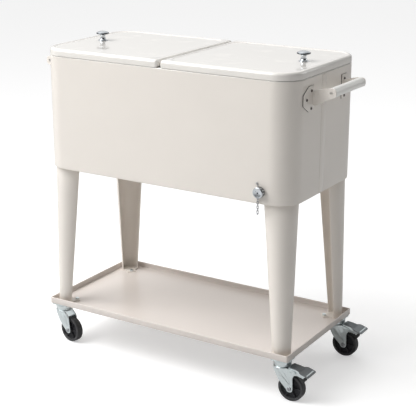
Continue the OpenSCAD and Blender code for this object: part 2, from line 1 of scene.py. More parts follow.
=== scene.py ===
"""Looks of a patio cooler cart: enamelled steel chest, two lids, shelf tray and casters.

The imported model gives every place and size; this script builds the visible sheet metal,
hardware and finishes around it. Workpieces are shaped in millimetres and placed in metres.
"""

from __future__ import annotations

import json
import logging
import math
from collections.abc import Callable, Iterable, Sequence
from dataclasses import dataclass
from enum import Enum

import bmesh
import bpy
from mathutils import Matrix, Vector


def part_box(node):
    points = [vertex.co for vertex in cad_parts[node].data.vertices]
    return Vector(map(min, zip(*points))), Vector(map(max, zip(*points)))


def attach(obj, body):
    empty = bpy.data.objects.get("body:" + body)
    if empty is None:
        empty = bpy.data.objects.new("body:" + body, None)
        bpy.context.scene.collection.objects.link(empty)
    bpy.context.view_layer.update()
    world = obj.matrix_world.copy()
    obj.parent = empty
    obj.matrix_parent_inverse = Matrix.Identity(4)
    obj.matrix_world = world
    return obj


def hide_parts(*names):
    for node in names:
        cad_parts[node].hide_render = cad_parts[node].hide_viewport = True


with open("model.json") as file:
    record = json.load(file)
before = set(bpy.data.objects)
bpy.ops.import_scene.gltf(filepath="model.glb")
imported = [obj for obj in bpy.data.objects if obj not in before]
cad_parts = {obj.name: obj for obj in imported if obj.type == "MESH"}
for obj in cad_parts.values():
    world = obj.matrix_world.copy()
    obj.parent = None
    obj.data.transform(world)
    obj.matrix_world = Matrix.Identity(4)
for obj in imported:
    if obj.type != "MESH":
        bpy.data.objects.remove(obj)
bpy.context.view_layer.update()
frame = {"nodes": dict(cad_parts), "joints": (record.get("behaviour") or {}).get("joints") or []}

MM = 0.001
LOG = logging.getLogger("cooler_cart")
JOINTS = {joint["name"]: joint for joint in frame["joints"]}
SHARP = math.radians(38)
Pair = tuple[float, float]
Triple = tuple[float, float, float]


class Side(Enum):
    """Left or right of the cart, seen from the front."""

    LEFT = -1
    RIGHT = 1


class End(Enum):
    """Front or rear of the cart."""

    FRONT = -1
    REAR = 1


class Slot(Enum):
    """The record's material slots."""

    CREAM = "cream_enamel"
    GRIP = "grip_enamel"
    FOAM = "foam"
    PLASTIC = "white_plastic"
    SEAL = "grey_seal"
    RUBBER = "black_rubber"
    NYLON = "black_nylon"
    CHROME = "chrome"
    ZINC = "zinc"


def corners(node: str) -> tuple[Vector, Vector]:
    """Lowest and highest corner of a CAD node, in millimetres."""
    low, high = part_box(node)
    return low / MM, high / MM


def pivot(joint: str) -> Vector:
    """A joint's place, in millimetres."""
    return Vector(JOINTS[joint]["pos_m"]) / MM


# Shader arithmetic --------------------------------------------------------


class Signal:
    """A number that varies over a surface, used in plain arithmetic."""

    def __init__(self, recipe: "Recipe", socket: bpy.types.NodeSocket) -> None:
        """Wraps one output socket of a recipe's tree."""
        self.recipe = recipe
        self.socket = socket

    def _math(self, operation: str, first: object, second: object) -> "Signal":
        """Adds one Math node.

        Args:
            operation: the node's operation.
            first: a signal or a number.
            second: a signal or a number.

        Returns:
            The node's result.
        """
        node = self.recipe.node("ShaderNodeMath", {"operation": operation}, {0: first, 1: second})
        return Signal(self.recipe, node.outputs[0])

    def __add__(self, other: object) -> "Signal":
        """Sum."""
        return self._math("ADD", self, other)

    def __radd__(self, other: object) -> "Signal":
        """Sum, number first."""
        return self._math("ADD", other, self)

    def __sub__(self, other: object) -> "Signal":
        """Difference."""
        return self._math("SUBTRACT", self, other)

    def __rsub__(self, other: object) -> "Signal":
        """Difference, number first."""
        return self._math("SUBTRACT", other, self)

    def __mul__(self, other: object) -> "Signal":
        """Product."""
        return self._math("MULTIPLY", self, other)

    def __rmul__(self, other: object) -> "Signal":
        """Product, number first."""
        return self._math("MULTIPLY", other, self)

    def __truediv__(self, other: object) -> "Signal":
        """Quotient."""
        return self._math("DIVIDE", self, other)

    def __rtruediv__(self, other: object) -> "Signal":
        """Quotient, number first."""
        return self._math("DIVIDE", other, self)

    def __pow__(self, other: object) -> "Signal":
        """Power."""
        return self._math("POWER", self, other)

    def at_least(self, floor: float) -> "Signal":
        """The larger of this and a number."""
        return self._math("MAXIMUM", self, floor)

    def between(self, low: float, high: float) -> "Signal":
        """A smooth step from 0 at low to 1 at high.

        Args:
            low: where the step starts.
            high: where it ends.

        Returns:
            A signal from 0 to 1.
        """
        node = self.recipe.node(
            "ShaderNodeMapRange",
            {"interpolation_type": "SMOOTHSTEP"},
            {"Value": self, "From Min": low, "From Max": high},
        )
        return Signal(self.recipe, node.outputs[0])


class Recipe:
    """The node tree of one material or of the world, built node by node."""

    def __init__(self, tree: bpy.types.NodeTree) -> None:
        """Empties a tree and takes it over."""
        self.tree = tree
        tree.nodes.clear()

    def node(self, kind: str, settings: dict | None = None, inputs: dict | None = None) -> bpy.types.Node:
        """Adds one node.

        Args:
            kind: the node's type name.
            settings: the node's own properties, set first.
            inputs: socket names or numbers with a value, a socket or a signal each.

        Returns:
            The new node.
        """
        made = self.tree.nodes.new(kind)
        for name, value in (settings or {}).items():
            setattr(made, name, value)
        for key, value in (inputs or {}).items():
            if isinstance(value, Signal):
                value = value.socket
            if isinstance(value, bpy.types.NodeSocket):
                self.tree.links.new(value, made.inputs[key])
            else:
                made.inputs[key].default_value = value
        return made

    def place(self, stretch: Triple = (1, 1, 1)) -> bpy.types.NodeSocket:
        """Object coordinates, stretched along the axes."""
        here = self.node("ShaderNodeTexCoord").outputs["Object"]
        return self.node("ShaderNodeMapping", {}, {"Vector": here, "Scale": stretch}).outputs[0]

    def noise(self, size: float, detail: float = 2, stretch: Triple = (1, 1, 1)) -> Signal:
        """Cloudy noise.

        Args:
            size: width of its spots in millimetres.
            detail: number of finer layers.
            stretch: scale along the axes, so that a small number draws it out.

        Returns:
            A signal from 0 to 1.
        """
        inputs = {"Vector": self.place(stretch), "Scale": 1 / (size * MM), "Detail": detail}
        return Signal(self, self.node("ShaderNodeTexNoise", {}, inputs).outputs[0])

    def cells(self, size: float) -> Signal:
        """Distance to the nearest of scattered points, about size millimetres apart."""
        inputs = {"Vector": self.place(), "Scale": 1 / (size * MM)}
        return Signal(self, self.node("ShaderNodeTexVoronoi", {}, inputs).outputs[0])

    def blend(self, factor: Signal, low: Sequence[float], high: Sequence[float]) -> bpy.types.NodeSocket:
        """A colour between low and high."""
        mix = self.node("ShaderNodeMix", {"data_type": "RGBA"}, {0: factor, 6: (*low, 1), 7: (*high, 1)})
        return mix.outputs[2]

    def bump(self, height: Signal, depth: float) -> bpy.types.NodeSocket:
        """A normal from a height of 0 to 1 that stands for depth millimetres."""
        return self.node("ShaderNodeBump", {}, {"Height": height, "Distance": depth * MM}).outputs[0]


def shade(colour: Sequence[float], factor: float) -> Triple:
    """A colour made lighter or darker."""
    return tuple(min(channel * factor, 1.0) for channel in colour)


@dataclass(frozen=True)
class Finish:
    """What all finishes share: a name, a colour and a mean roughness."""

    name: str
    colour: Triple
    roughness: float

    def surface(self, recipe: Recipe) -> dict:
        """The sockets of the shader that this finish sets."""
        raise NotImplementedError

    def material(self) -> bpy.types.Material:
        """The finish as a material, made once.

        Returns:
            A node material named after the finish.
        """
        known = bpy.data.materials.get(self.name)
        if known:
            return known
        made = bpy.data.materials.new(self.name)
        made.use_nodes = True
        made.diffuse_color = (*self.colour, 1)
        recipe = Recipe(made.node_tree)
        shader = recipe.node("ShaderNodeBsdfPrincipled", {}, self.surface(recipe))
        recipe.node("ShaderNodeOutputMaterial", {}, {"Surface": shader.outputs[0]})
        return made


@dataclass(frozen=True)
class Enamel(Finish):
    """Powder coat on steel: faint orange peel, slow drifts in tone, a clear gloss on top."""

    coat: float = 0.6
    coat_roughness: float = 0.12
    peel: float = 0.02

    def surface(self, recipe: Recipe) -> dict:
        """Orange peel, cloudy tone and a few dull smudges.

        Args:
            recipe: the tree to build in.

        Returns:
            The shader's sockets with a value or a link each.
        """
        drift = recipe.noise(130, 3)
        peel = recipe.noise(2.4, 1) * 0.7 + recipe.noise(0.9, 1) * 0.3
        smudge = recipe.noise(46, 5).between(0.52, 0.78)
        return {
            "Base Color": recipe.blend(drift, shade(self.colour, 0.975), shade(self.colour, 1.02)),
            "Roughness": self.roughness + smudge * 0.06 + (drift - 0.5) * 0.04,
            "Coat Weight": self.coat - smudge * (0.15 * self.coat),
            "Coat Roughness": self.coat_roughness,
            "Normal": recipe.bump(peel, self.peel),
        }


@dataclass(frozen=True)
class Plated(Finish):
    """Bright or dull plating on steel, with a grain and small clouds in its polish."""

    grain: float = 0.5
    cloud: float = 0.06
    relief: float = 0.01

    def surface(self, recipe: Recipe) -> dict:
        """Crystal spots, fine scratches and clouded polish.

        Args:
            recipe: the tree to build in.

        Returns:
            The shader's sockets with a value or a link each.
        """
        crystal = recipe.cells(3.2)
        cloud = recipe.noise(9, 4)
        scratch = recipe.noise(self.grain, 2, (1, 1, 0.12))
        return {
            "Base Color": recipe.blend(
                crystal * 0.6 + cloud * 0.4, shade(self.colour, 0.9), shade(self.colour, 1.06)
            ),
            "Metallic": 1.0,
            "Roughness": self.roughness + (cloud - 0.5) * (2 * self.cloud) + scratch * 0.04,
            "Normal": recipe.bump(scratch * 0.6 + crystal * 0.4, self.relief),
        }


@dataclass(frozen=True)
class Moulded(Finish):
    """Moulded plastic or rubber: fine texture, scuffs and a little dust."""

    grain: float = 0.7
    relief: float = 0.03
    scuff: float = 1.6

    def surface(self, recipe: Recipe) -> dict:
        """Fine leathery grain under drawn-out scuffs.

        Args:
            recipe: the tree to build in.

        Returns:
            The shader's sockets with a value or a link each.
        """
        grain = recipe.noise(self.grain, 3)
        dust = recipe.noise(14, 5).between(0.45, 0.8)
        return {
            "Base Color": recipe.blend(dust, self.colour, shade(self.colour, self.scuff)),
            "Roughness": self.roughness + dust * 0.12 + (grain - 0.5) * 0.1,
            "Normal": recipe.bump(grain, self.relief),
        }


@dataclass(frozen=True)
class Foamed(Finish):
    """Rigid insulating foam with open cells."""

    cell: float = 1.6

    def surface(self, recipe: Recipe) -> dict:
        """Round cells of uneven size and a yellowed drift.

        Args:
            recipe: the tree to build in.

        Returns:
            The shader's sockets with a value or a link each.
        """
        cell = recipe.cells(self.cell)
        drift = recipe.noise(60, 3)
        return {
            "Base Color": recipe.blend(drift, shade(self.colour, 0.88), self.colour),
            "Roughness": self.roughness - cell * 0.1,
            "Normal": recipe.bump(cell, 0.4),
        }


CREAM = (0.835, 0.785, 0.725)
BODY_ENAMEL = Enamel("body_enamel", CREAM, 0.36, coat=0.45, coat_roughness=0.16)
LID_ENAMEL = Enamel("lid_enamel", (0.845, 0.815, 0.77), 0.3, coat=1.0, coat_roughness=0.05, peel=0.008)
LEG_ENAMEL = Enamel("leg_enamel", CREAM, 0.4, coat=0.35, coat_roughness=0.2)
# The tray's cream is darker and warmer than the body's; the darkening is painted shade cast by the chest
# above the shelf
TRAY_ENAMEL_PAINTED_SHADE = Enamel("tray_enamel", (0.74, 0.68, 0.635), 0.38, coat=0.4, coat_roughness=0.2)
GRIP_ENAMEL = Enamel("grip_enamel", (0.83, 0.82, 0.79), 0.34, coat=0.5, coat_roughness=0.15)
ZINC = Plated("bright_zinc", (0.72, 0.78, 0.79), 0.3, cloud=0.06, relief=0.01)
DARK_ZINC = Plated("worn_zinc", (0.21, 0.225, 0.235), 0.34, cloud=0.08, relief=0.01)
CHROME = Plated("polished_chrome", (0.62, 0.65, 0.68), 0.09, grain=0.3, cloud=0.03, relief=0.001)
STEEL = Plated("dull_steel", (0.42, 0.43, 0.45), 0.32, cloud=0.1, relief=0.01)
# Dark chrome for faces that should look dark: a painted dark reflection of the studio on the knob's rim and
# the drain cap's sides, and painted shade in the cap's centre dimple
PAINTED_REFLECTION_CHROME = Plated("shaded_chrome", (0.13, 0.14, 0.15), 0.12, grain=0.3, cloud=0.03, relief=0.001)
SCREW = Plated("dark_screws", (0.16, 0.14, 0.13), 0.4, cloud=0.08, relief=0.01)
NYLON = Moulded("black_nylon", (0.018, 0.018, 0.02), 0.42, relief=0.02, scuff=1.8)
TREAD = Moulded("wheel_tread", (0.036, 0.036, 0.038), 0.5, grain=0.5, relief=0.04, scuff=2.2)
RUBBER = Moulded("black_rubber", (0.014, 0.014, 0.014), 0.6, relief=0.05, scuff=2)
SEAL = Moulded("grey_seal", (0.36, 0.36, 0.35), 0.65, relief=0.04, scuff=1.2)
LINER = Moulded("white_liner", (0.83, 0.84, 0.83), 0.28, grain=1.1, relief=0.015, scuff=0.96)
FOAM = Foamed("insulating_foam", (0.86, 0.78, 0.52), 0.85)


# Workpieces ---------------------------------------------------------------

TO_XZ = Matrix.Rotation(math.radians(90), 4, "X")
TO_YZ = Matrix.Rotation(math.radians(90), 4, "Z") @ TO_XZ


@dataclass(frozen=True)
class Section:
    """A round-cornered rectangle at one height; its two ends may have their own corner radius."""

    centre: Pair
    length: float
    width: float
    z: float
    radius: float
    low_radius: float | None = None

    def inset(self, by: float, z: float, low_radius: float | None = None) -> "Section":
        """The outline moved inwards, at another height.

        Args:
            by: how far every side moves in.
            z: the new height.
            low_radius: the radius of the corners at low X, where they don't follow the inset.

        Returns:
            The new section.
        """
        low = self.radius if self.low_radius is None else self.low_radius
        smallest = 0.4
        return Section(
            self.centre,
            self.length - 2 * by,
            self.width - 2 * by,
            z,
            max(self.radius - by, smallest),
            max(low - by, smallest) if low_radius is None else low_radius,
        )


def contour(points: Iterable[Triple], segments: int = 5) -> list[Vector]:
    """Rounds the corners of a flat outline.

    Args:
        points: x and y of each corner, and how far from it its rounding starts.
        segments: number of chords in each rounding.

    Returns:
        The outline's points in order, on z = 0.
    """
    scratch = bmesh.new()
    named = [(scratch.verts.new((x, y, 0)), rounding) for x, y, rounding in points]
    scratch.faces.new([vert for vert, _ in named])
    for rounding in sorted({r for _, r in named if r > 0}):
        chosen = [vert for vert, r in named if r == rounding]
        bmesh.ops.bevel(
            scratch, geom=chosen, offset=rounding, offset_type="OFFSET", segments=segments,
            profile=0.5, affect="VERTICES", material=-1,
        )
    scratch.faces.ensure_lookup_table()
    found = [vert.co.copy() for vert in scratch.faces[0].verts]
    scratch.free()
    return found


def outline(section: Section, segments: int) -> list[Vector]:
    """The points of a section, corners rounded with the given number of chords.

    Args:
        section: the rectangle.
        segments: chords in each corner.

    Returns:
        The points, from the same corner on every section.
    """
    x, y = section.centre
    half_l, half_w = section.length / 2, section.width / 2
    low = section.radius if section.low_radius is None else section.low_radius
    points = contour(
        [
            (-half_l, -half_w, low),
            (half_l, -half_w, section.radius),
            (half_l, half_w, section.radius),
            (-half_l, half_w, low),
        ],
        segments,
    )
    start = min(range(len(points)), key=lambda i: math.atan2(points[i].y, points[i].x))
    ordered = points[start:] + points[:start]
    return [point + Vector((x, y, section.z)) for point in ordered]


class Blank:
    """A workpiece in millimetres: one bmesh and the operations done on it."""

    # Lifts every second outline of a stack, because outlines in one plane would be bridged askew
    nudge = 0.004

    def __init__(self) -> None:
        """Starts empty."""
        self.bm = bmesh.new()

    def loop(self, points: Sequence[Vector]) -> list[bmesh.types.BMEdge]:
        """Adds a closed loop of edges through points."""
        verts = [self.bm.verts.new(point) for point in points]
        return [self.bm.edges.new(pair) for pair in zip(verts, verts[1:] + verts[:1])]

    def cap(self, edges: Sequence[bmesh.types.BMEdge]) -> None:
        """Closes a loop with one face."""
        bmesh.ops.contextual_create(self.bm, geom=list(edges))

    def stack(self, sections: Sequence[Section], segments: int = 12, closed: bool = False) -> "Blank":
        """Skins a pile of sections.

        Args:
            sections: the outlines, from one end of the skin to the other.
            segments: chords in each corner.
            closed: whether the last outline joins the first, as in a hollow wall. Otherwise both are filled.

        Returns:
            This blank.
        """
        loops = []
        for number, section in enumerate(sections):
            nudge = Vector((0, 0, self.nudge * (number % 2)))
            loops.append(self.loop([point + nudge for point in outline(section, segments)]))
        pairs = list(zip(loops, loops[1:])) + ([(loops[-1], loops[0])] if closed else [])
        for first, second in pairs:
            bmesh.ops.bridge_loops(self.bm, edges=first + second)
        if not closed:
            self.cap(loops[0])
            self.cap(loops[-1])
        return self

    def plate(self, points: Iterable[Triple], thickness: float, edge: float = 0.4,
              segments: int = 5) -> "Blank":
        """A flat plate on z = 0 with softened rims.

        Args:
            points: its outline, as for contour().
            thickness: how far it rises along Z.
            edge: width of the rounding along its rims.
            segments: chords in each corner.

        Returns:
            This blank.
        """
        edges = self.loop(contour(points, segments))
        face = bmesh.ops.contextual_create(self.bm, geom=edges)["faces"]
        raised = bmesh.ops.extrude_face_region(self.bm, geom=face)["geom"]
        verts = [item for item in raised if isinstance(item, bmesh.types.BMVert)]
        bmesh.ops.translate(self.bm, vec=(0, 0, thickness), verts=verts)
        bmesh.ops.recalc_face_normals(self.bm, faces=self.bm.faces)
        if edge:
            self.soften(edge)
        return self

    def turn(self, profile: Sequence[Pair], steps: int = 48, closed: bool = False) -> "Blank":
        """Spins a profile about the Z axis.

        Args:
            profile: radius and height of each point.
            steps: number of chords round the axis.
            closed: whether the last point joins the first, as in a ring.

        Returns:
            This blank.
        """
        verts = [self.bm.verts.new((radius, 0, height)) for radius, height in profile]
        edges = [self.bm.edges.new(pair) for pair in zip(verts, verts[1:])]
        if closed:
            edges.append(self.bm.edges.new((verts[-1], verts[0])))
        bmesh.ops.spin(
            self.bm, geom=verts + edges, cent=(0, 0, 0), axis=(0, 0, 1), angle=math.tau, steps=steps,
            use_merge=True,
        )
        bmesh.ops.remove_doubles(self.bm, verts=self.bm.verts, dist=0.001)
        bmesh.ops.recalc_face_normals(self.bm, faces=self.bm.faces)
        return self

    def soften(self, width: float, segments: int = 2, angle: float = 60) -> "Blank":
        """Rounds sharp edges.

        Args:
            width: width of the rounding.
            segments: its number of chords.
            angle: the least angle between an edge's faces, in degrees.

        Returns:
            This blank.
        """
        least = math.radians(angle)
        chosen = [edge for edge in self.bm.edges if edge.is_manifold and edge.calc_face_angle() > least]
        bmesh.ops.bevel(
            self.bm, geom=chosen, offset=width, offset_type="OFFSET", segments=segments, profile=0.5,
            affect="EDGES", material=-1, clamp_overlap=True,
        )
        return self

    def paint(self, index: int, where: Callable[[bmesh.types.BMFace], bool] | None = None) -> "Blank":
        """Gives the faces, or those that pass a test, the finish with that number.

        Args:
            index: the finish's number.
            where: a test of a face, when only some are meant.

        Returns:
            This blank.
        """
        for face in self.bm.faces:
            if not where or where(face):
                face.material_index = index
        return self

    def moved(self, matrix: Matrix) -> "Blank":
        """Moves the whole workpiece, and turns it right side out again if the move mirrors it.

        Args:
            matrix: the move.

        Returns:
            This blank.
        """
        bmesh.ops.transform(self.bm, matrix=matrix, verts=self.bm.verts)
        if matrix.determinant() < 0:
            bmesh.ops.reverse_faces(self.bm, faces=self.bm.faces)
        return self

    def add(self, other: "Blank") -> "Blank":
        """Takes over another workpiece's shape.

        Args:
            other: the workpiece, which is used up.

        Returns:
            This blank.
        """
        scratch = bpy.data.meshes.new("scratch")
        other.bm.to_mesh(scratch)
        other.bm.free()
        self.bm.from_mesh(scratch)
        bpy.data.meshes.remove(scratch)
        return self

    def make(self, name: str, body: str, finishes: Sequence[Finish], slot: Slot,
             replaces: Sequence[str] = (), cutter: "Blank | None" = None) -> bpy.types.Object:
        """Turns the workpiece into a finished piece that rides on a CAD body.

        Args:
            name: the piece's name.
            body: the CAD body that it moves with.
            finishes: its materials, in the order of its faces' numbers.
            slot: the record's material slot; not used.
            replaces: the CAD nodes that it stands for.
            cutter: a workpiece whose space is cut out of this one.

        Returns:
            The piece.
        """
        bmesh.ops.remove_doubles(self.bm, verts=self.bm.verts, dist=0.0005)
        bmesh.ops.recalc_face_normals(self.bm, faces=self.bm.faces)
        piece = self._object(name)
        for finish in finishes:
            piece.data.materials.append(finish.material())
        if cutter:
            tool = cutter._object(name + "_cutter")
            cut = piece.modifiers.new("cut", "BOOLEAN")
            cut.object = tool
            cut.solver = "EXACT"
            cut.use_self = True
            graph = bpy.context.evaluated_depsgraph_get()
            whole = piece.data
            piece.data = bpy.data.meshes.new_from_object(piece.evaluated_get(graph))
            piece.data.name = name
            piece.modifiers.clear()
            bpy.data.objects.remove(tool)
            bpy.data.meshes.remove(whole)
        piece.data.shade_smooth()
        piece.data.set_sharp_from_angle(angle=SHARP)
        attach(piece, body)
        if replaces:
            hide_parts(*replaces)
        LOG.info("%s: %d faces on %s", name, len(piece.data.polygons), body)
        return piece

    def _object(self, name: str) -> bpy.types.Object:
        """A linked object with this shape in metres. The workpiece is used up.

        Args:
            name: the object's name.

        Returns:
            The object.
        """
        self.moved(Matrix.Scale(MM, 4))
        mesh = bpy.data.meshes.new(name)
        self.bm.to_mesh(mesh)
        self.bm.free()
        made = bpy.data.objects.new(name, mesh)
        bpy.context.scene.collection.objects.link(made)
        return made


def arc(centre: Pair, radius: float, start: float, end: float, steps: int) -> list[Pair]:
    """Points on an arc, from one angle to another in degrees."""
    angles = [math.radians(start + (end - start) * i / steps) for i in range(steps + 1)]
    return [(centre[0] + radius * math.cos(a), centre[1] + radius * math.sin(a)) for a in angles]


def dressed(nodes: Iterable[str], finish: Finish) -> None:
    """Gives CAD nodes that stay in view a finish.

    Args:
        nodes: names of the nodes.
        finish: what they are finished in.
    """
    for node in nodes:
        mesh = frame["nodes"][node].data
        mesh.materials.clear()
        mesh.materials.append(finish.material())
        LOG.info("%s: %s", node, finish.name)


def at(x: float, y: float, z: float = 0) -> Matrix:
    """A move."""
    return Matrix.Translation((x, y, z))


# Chest --------------------------------------------------------------------


@dataclass
class Chest:
    """The enamelled outer wall with its turned-in hem, side laps and top frame."""

    corner: float = 64
    sheet: float = 1.2
    hem: float = 14
    hem_roll: float = 2
    lap_width: float = 26
    lap_proud: float = 0.5
    frame_width: float = 21
    frame_slope: float = 1.5

    def build(self) -> None:
        """Makes the wall and the frame, and dresses the hidden base."""
        low, high = corners("body_shell")
        centre = ((low.x + high.x) / 2, (low.y + high.y) / 2)
        wall = Section(centre, high.x - low.x, high.y - low.y, low.z, self.corner)
        self._wall(wall, low.z, high.z)
        self._frame(wall, high.z, corners("rim_frame")[1].z)
        dressed(["body_base"], BODY_ENAMEL)
        dressed(["foam_insulation"], FOAM)

    def _wall(self, wall: Section, bottom: float, top: float) -> None:
        """The sheet, rolled in at the bottom hem, with a lap joint on each end wall.

        Args:
            wall: the wall's outline.
            bottom: its lowest height.
            top: its highest height.
        """
        roll = self.hem_roll
        profile = [(self.hem, bottom + self.sheet), (self.hem, bottom)]
        profile += arc((roll, bottom + roll), roll, 270, 180, 4)
        profile += [(0, bottom + 12), (0, top - 12), (0, top), (self.sheet, top)]
        profile += [(self.sheet, bottom + self.sheet)]
        blank = Blank().stack([wall.inset(*step) for step in profile], 16, closed=True)
        x, y = wall.centre
        for side in Side:
            strip = [(-self.lap_width, bottom + roll, 0), (0, bottom + roll, 0), (0, top - 1, 0),
                     (-self.lap_width, top - 1, 0)]
            lap = Blank().plate(strip, 2 * self.lap_proud, edge=self.lap_proud * 0.8)
            face = Matrix.Scale(side.value, 4, (1, 0, 0)) @ at(wall.length / 2 - self.lap_proud, 0) @ TO_YZ
            blank.add(lap.moved(at(x, y - self.lap_width / 4) @ face))
        blank.make("chest_wall", "cart", [BODY_ENAMEL], Slot.CREAM, ["body_shell"])

    def _frame(self, wall: Section, bottom: float, top: float) -> None:
        """The frame that caps the wall, with a sloped outer edge.

        Args:
            wall: the wall's outline.
            bottom: the frame's lowest height.
            top: the frame's highest height.
        """
        slope = self.frame_slope
        profile = [(0.3, bottom), (0, bottom + 0.3), (0, bottom + 0.6), (slope, top), (slope + 2, top),
                   (self.frame_width - 0.5, top), (self.frame_width, top - 0.5), (self.frame_width, bottom)]
        blank = Blank().stack([wall.inset(*step) for step in profile], 16, closed=True)
        blank.make("chest_top_frame", "cart", [LID_ENAMEL], Slot.CREAM, ["rim_frame"])


@dataclass
class Tub:
    """The moulded inner liner with a rounded floor, and the drain fittings inside it."""

    wall: float = 23
    lip: float = 3
    floor_round: float = 12
    corner: float = 41

    def build(self) -> None:
        """Makes the liner and dresses what stands in it."""
        low, high = corners("inner_liner")
        centre = ((low.x + high.x) / 2, (low.y + high.y) / 2)
        edge = Section(centre, high.x - low.x, high.y - low.y, high.z, self.corner + self.wall)
        floor = low.z + self.lip
        inner = self.wall - 1.2
        curve = arc((inner + self.floor_round, floor + self.floor_round), self.floor_round, 180, 270, 6)
        outer = inner - self.lip
        profile = [(outer + self.floor_round, low.z), (outer, low.z + self.floor_round),
                   (outer, high.z - self.lip)]
        profile += [(0, high.z - self.lip), (0, high.z - 0.4), (0.4, high.z - 0.1),
                    (inner - 2, high.z - 0.1),
                    (inner - 0.6, high.z - 0.7), (inner, high.z - 2), (inner, high.z - 20)]
        profile += curve + [(inner + self.floor_round + 4, floor)]
        blank = Blank().stack([edge.inset(*step) for step in profile], 10)
        blank.make("tub_liner", "cart", [LINER], Slot.PLASTIC, ["inner_liner"])
        dressed(["drain_spout", "drain_nut"], LINER)
        dressed(["drain_gasket"], RUBBER)
        dressed(["centre_bar"], STEEL)
        dressed(["hinge_pins"], CHROME)


# Lids ---------------------------------------------------------------------


@dataclass
class Lid:
    """One lid: a pressed skin with a soft raised border, its knob, foam, liner and seal."""

    side: Side
    corner: float = 64
    edge: float = 9
    sheet: float = 1.2
    border: float = 11.5
    panel_drop: float = 2
    panel_corner: float = 40
    slot_width: float = 6
    ears: tuple[float, ...] = (-150, -60, 60, 150)
    sweep: float = 9.7

    @property
    def word(self) -> str:
        """The side as the names have it."""
        return self.side.name.lower()

    def build(self) -> None:
        """Makes the skin and the knob, and dresses the inner parts."""
        self._skin()
        self._knob()
        dressed([f"lid_foam_{self.word}"], FOAM)
        dressed([f"lid_liner_{self.word}"], LINER)
        dressed([f"lid_gasket_{self.word}"], SEAL)

    def _skin(self) -> None:
        """The skin, made as the right lid about x = 0 and mirrored for the left one."""
        low, high = corners(f"lid_skin_{self.word}")
        length, width = high.x - low.x, high.y - low.y
        middle = abs(low.x + high.x) / 2
        y = (low.y + high.y) / 2
        base = Section((middle, y), length, width, low.z, self.corner, self.edge)
        top = high.z
        over = arc((self.edge, top - self.edge), self.edge, 180, 90, 8)
        inner_top = top - self.panel_drop - self.sheet
        profile = [(self.sheet + 8, inner_top), (self.sheet, inner_top - 6), (self.sheet, low.z + 0.4),
                   (self.sheet - 0.4, low.z), (0.5, low.z), (0, low.z + 0.6)]
        sections = [base.inset(*step) for step in profile + over]
        flat = base.inset(self.border, top, self.panel_corner)
        sections.append(flat)
        for by, share in ((0.9, 0.1), (1.8, 0.35), (2.6, 0.65), (3.4, 0.9), (4.6, 1), (8, 1)):
            low_radius = max(self.panel_corner - by, 1)
            sections.append(flat.inset(by, top - share * self.panel_drop, low_radius))
        blank = Blank().stack(sections, 14)
        cutter = self._cutter(low.z, y, width)
        if self.side is Side.LEFT:
            mirror = Matrix.Scale(-1, 4, (1, 0, 0))
            blank.moved(mirror)
            cutter.moved(mirror)
        blank.make(f"lid_panel_{self.word}", f"lid_{self.word}", [LID_ENAMEL], Slot.CREAM,
                   [f"lid_skin_{self.word}"], cutter)

    def _cutter(self, bottom: float, y: float, width: float) -> Blank:
        """The slots for the hinge ears, and the room in which the inner edge swings past the frame.

        Args:
            bottom: height of the skin's lower edge.
            y: the middle of the skin.
            width: its width along Y.

        Returns:
            What is cut out of the right lid.
        """
        cutter = Blank()
        hinge = pivot(f"lid_{self.word}_hinge")
        reach, bar_top = abs(hinge.x), corners("centre_bar")[1].z + 2
        for ear in self.ears:
            box = [(-1, bottom - 5, 0), (reach + 8, bottom - 5, 0), (reach + 8, bar_top, 0),
                   (-1, bar_top, 0)]
            slot = Blank().plate(box, self.slot_width, edge=0)
            cutter.add(slot.moved(at(0, y + ear + self.slot_width / 2) @ TO_XZ))
        swept = arc((reach, hinge.z), self.sweep, 270, 180, 10)
        rim = [(-1, bottom - 2), (reach, bottom - 2)] + swept + [(-1, hinge.z)]
        edge_cut = Blank().plate([(x, z, 0) for x, z in rim], width + 4, edge=0)
        return cutter.add(edge_cut.moved(at(0, y + width / 2 + 2) @ TO_XZ))

    def _knob(self) -> None:
        """The turned knob on its foot ring."""
        low, high = corners(f"knob_{self.word}")
        cap = (high.x - low.x) / 2
        panel = corners(f"lid_skin_{self.word}")[1].z - self.panel_drop
        tall = high.z - panel
        foot, neck = cap * 0.72, cap * 0.42
        profile = [(0, 0), (foot, 0)]
        profile += arc((foot - 1, 1), 1, 0, 80, 3)
        profile += [(foot - 2.4, 2.3), (neck + 1.6, 3.4), (neck + 0.3, 5.4), (neck, 8), (neck, tall - 13),
                    (neck + 0.5, tall - 11.2), (neck + 2, tall - 9.6), (cap - 2.6, tall - 8.4)]
        profile += arc((cap - 2.2, tall - 6.2), 2.2, -80, 60, 6)
        profile += [(cap * 0.78, tall - 2.5), (cap * 0.55, tall - 1.1), (cap * 0.3, tall - 0.3), (0, tall)]
        knob = Blank().turn(profile, 56)
        # The cap's rim faces take the dark chrome: a painted dark reflection of the studio, not a different
        # metal
        knob.paint(1, lambda face: face.calc_center_median().z > tall - 8.6 and face.normal.z < 0.75)
        screw = Blank().turn([(0, 0), (3, 0), (3, -9), (2.2, -10), (0, -10)], 20)
        x, y = (low.x + high.x) / 2, (low.y + high.y) / 2
        knob.add(screw).moved(at(x, y, panel))
        knob.make(f"lid_knob_{self.word}", f"lid_{self.word}", [CHROME, PAINTED_REFLECTION_CHROME], Slot.CHROME,
                  [f"knob_{self.word}"])


# Legs and tray ------------------------------------------------------------


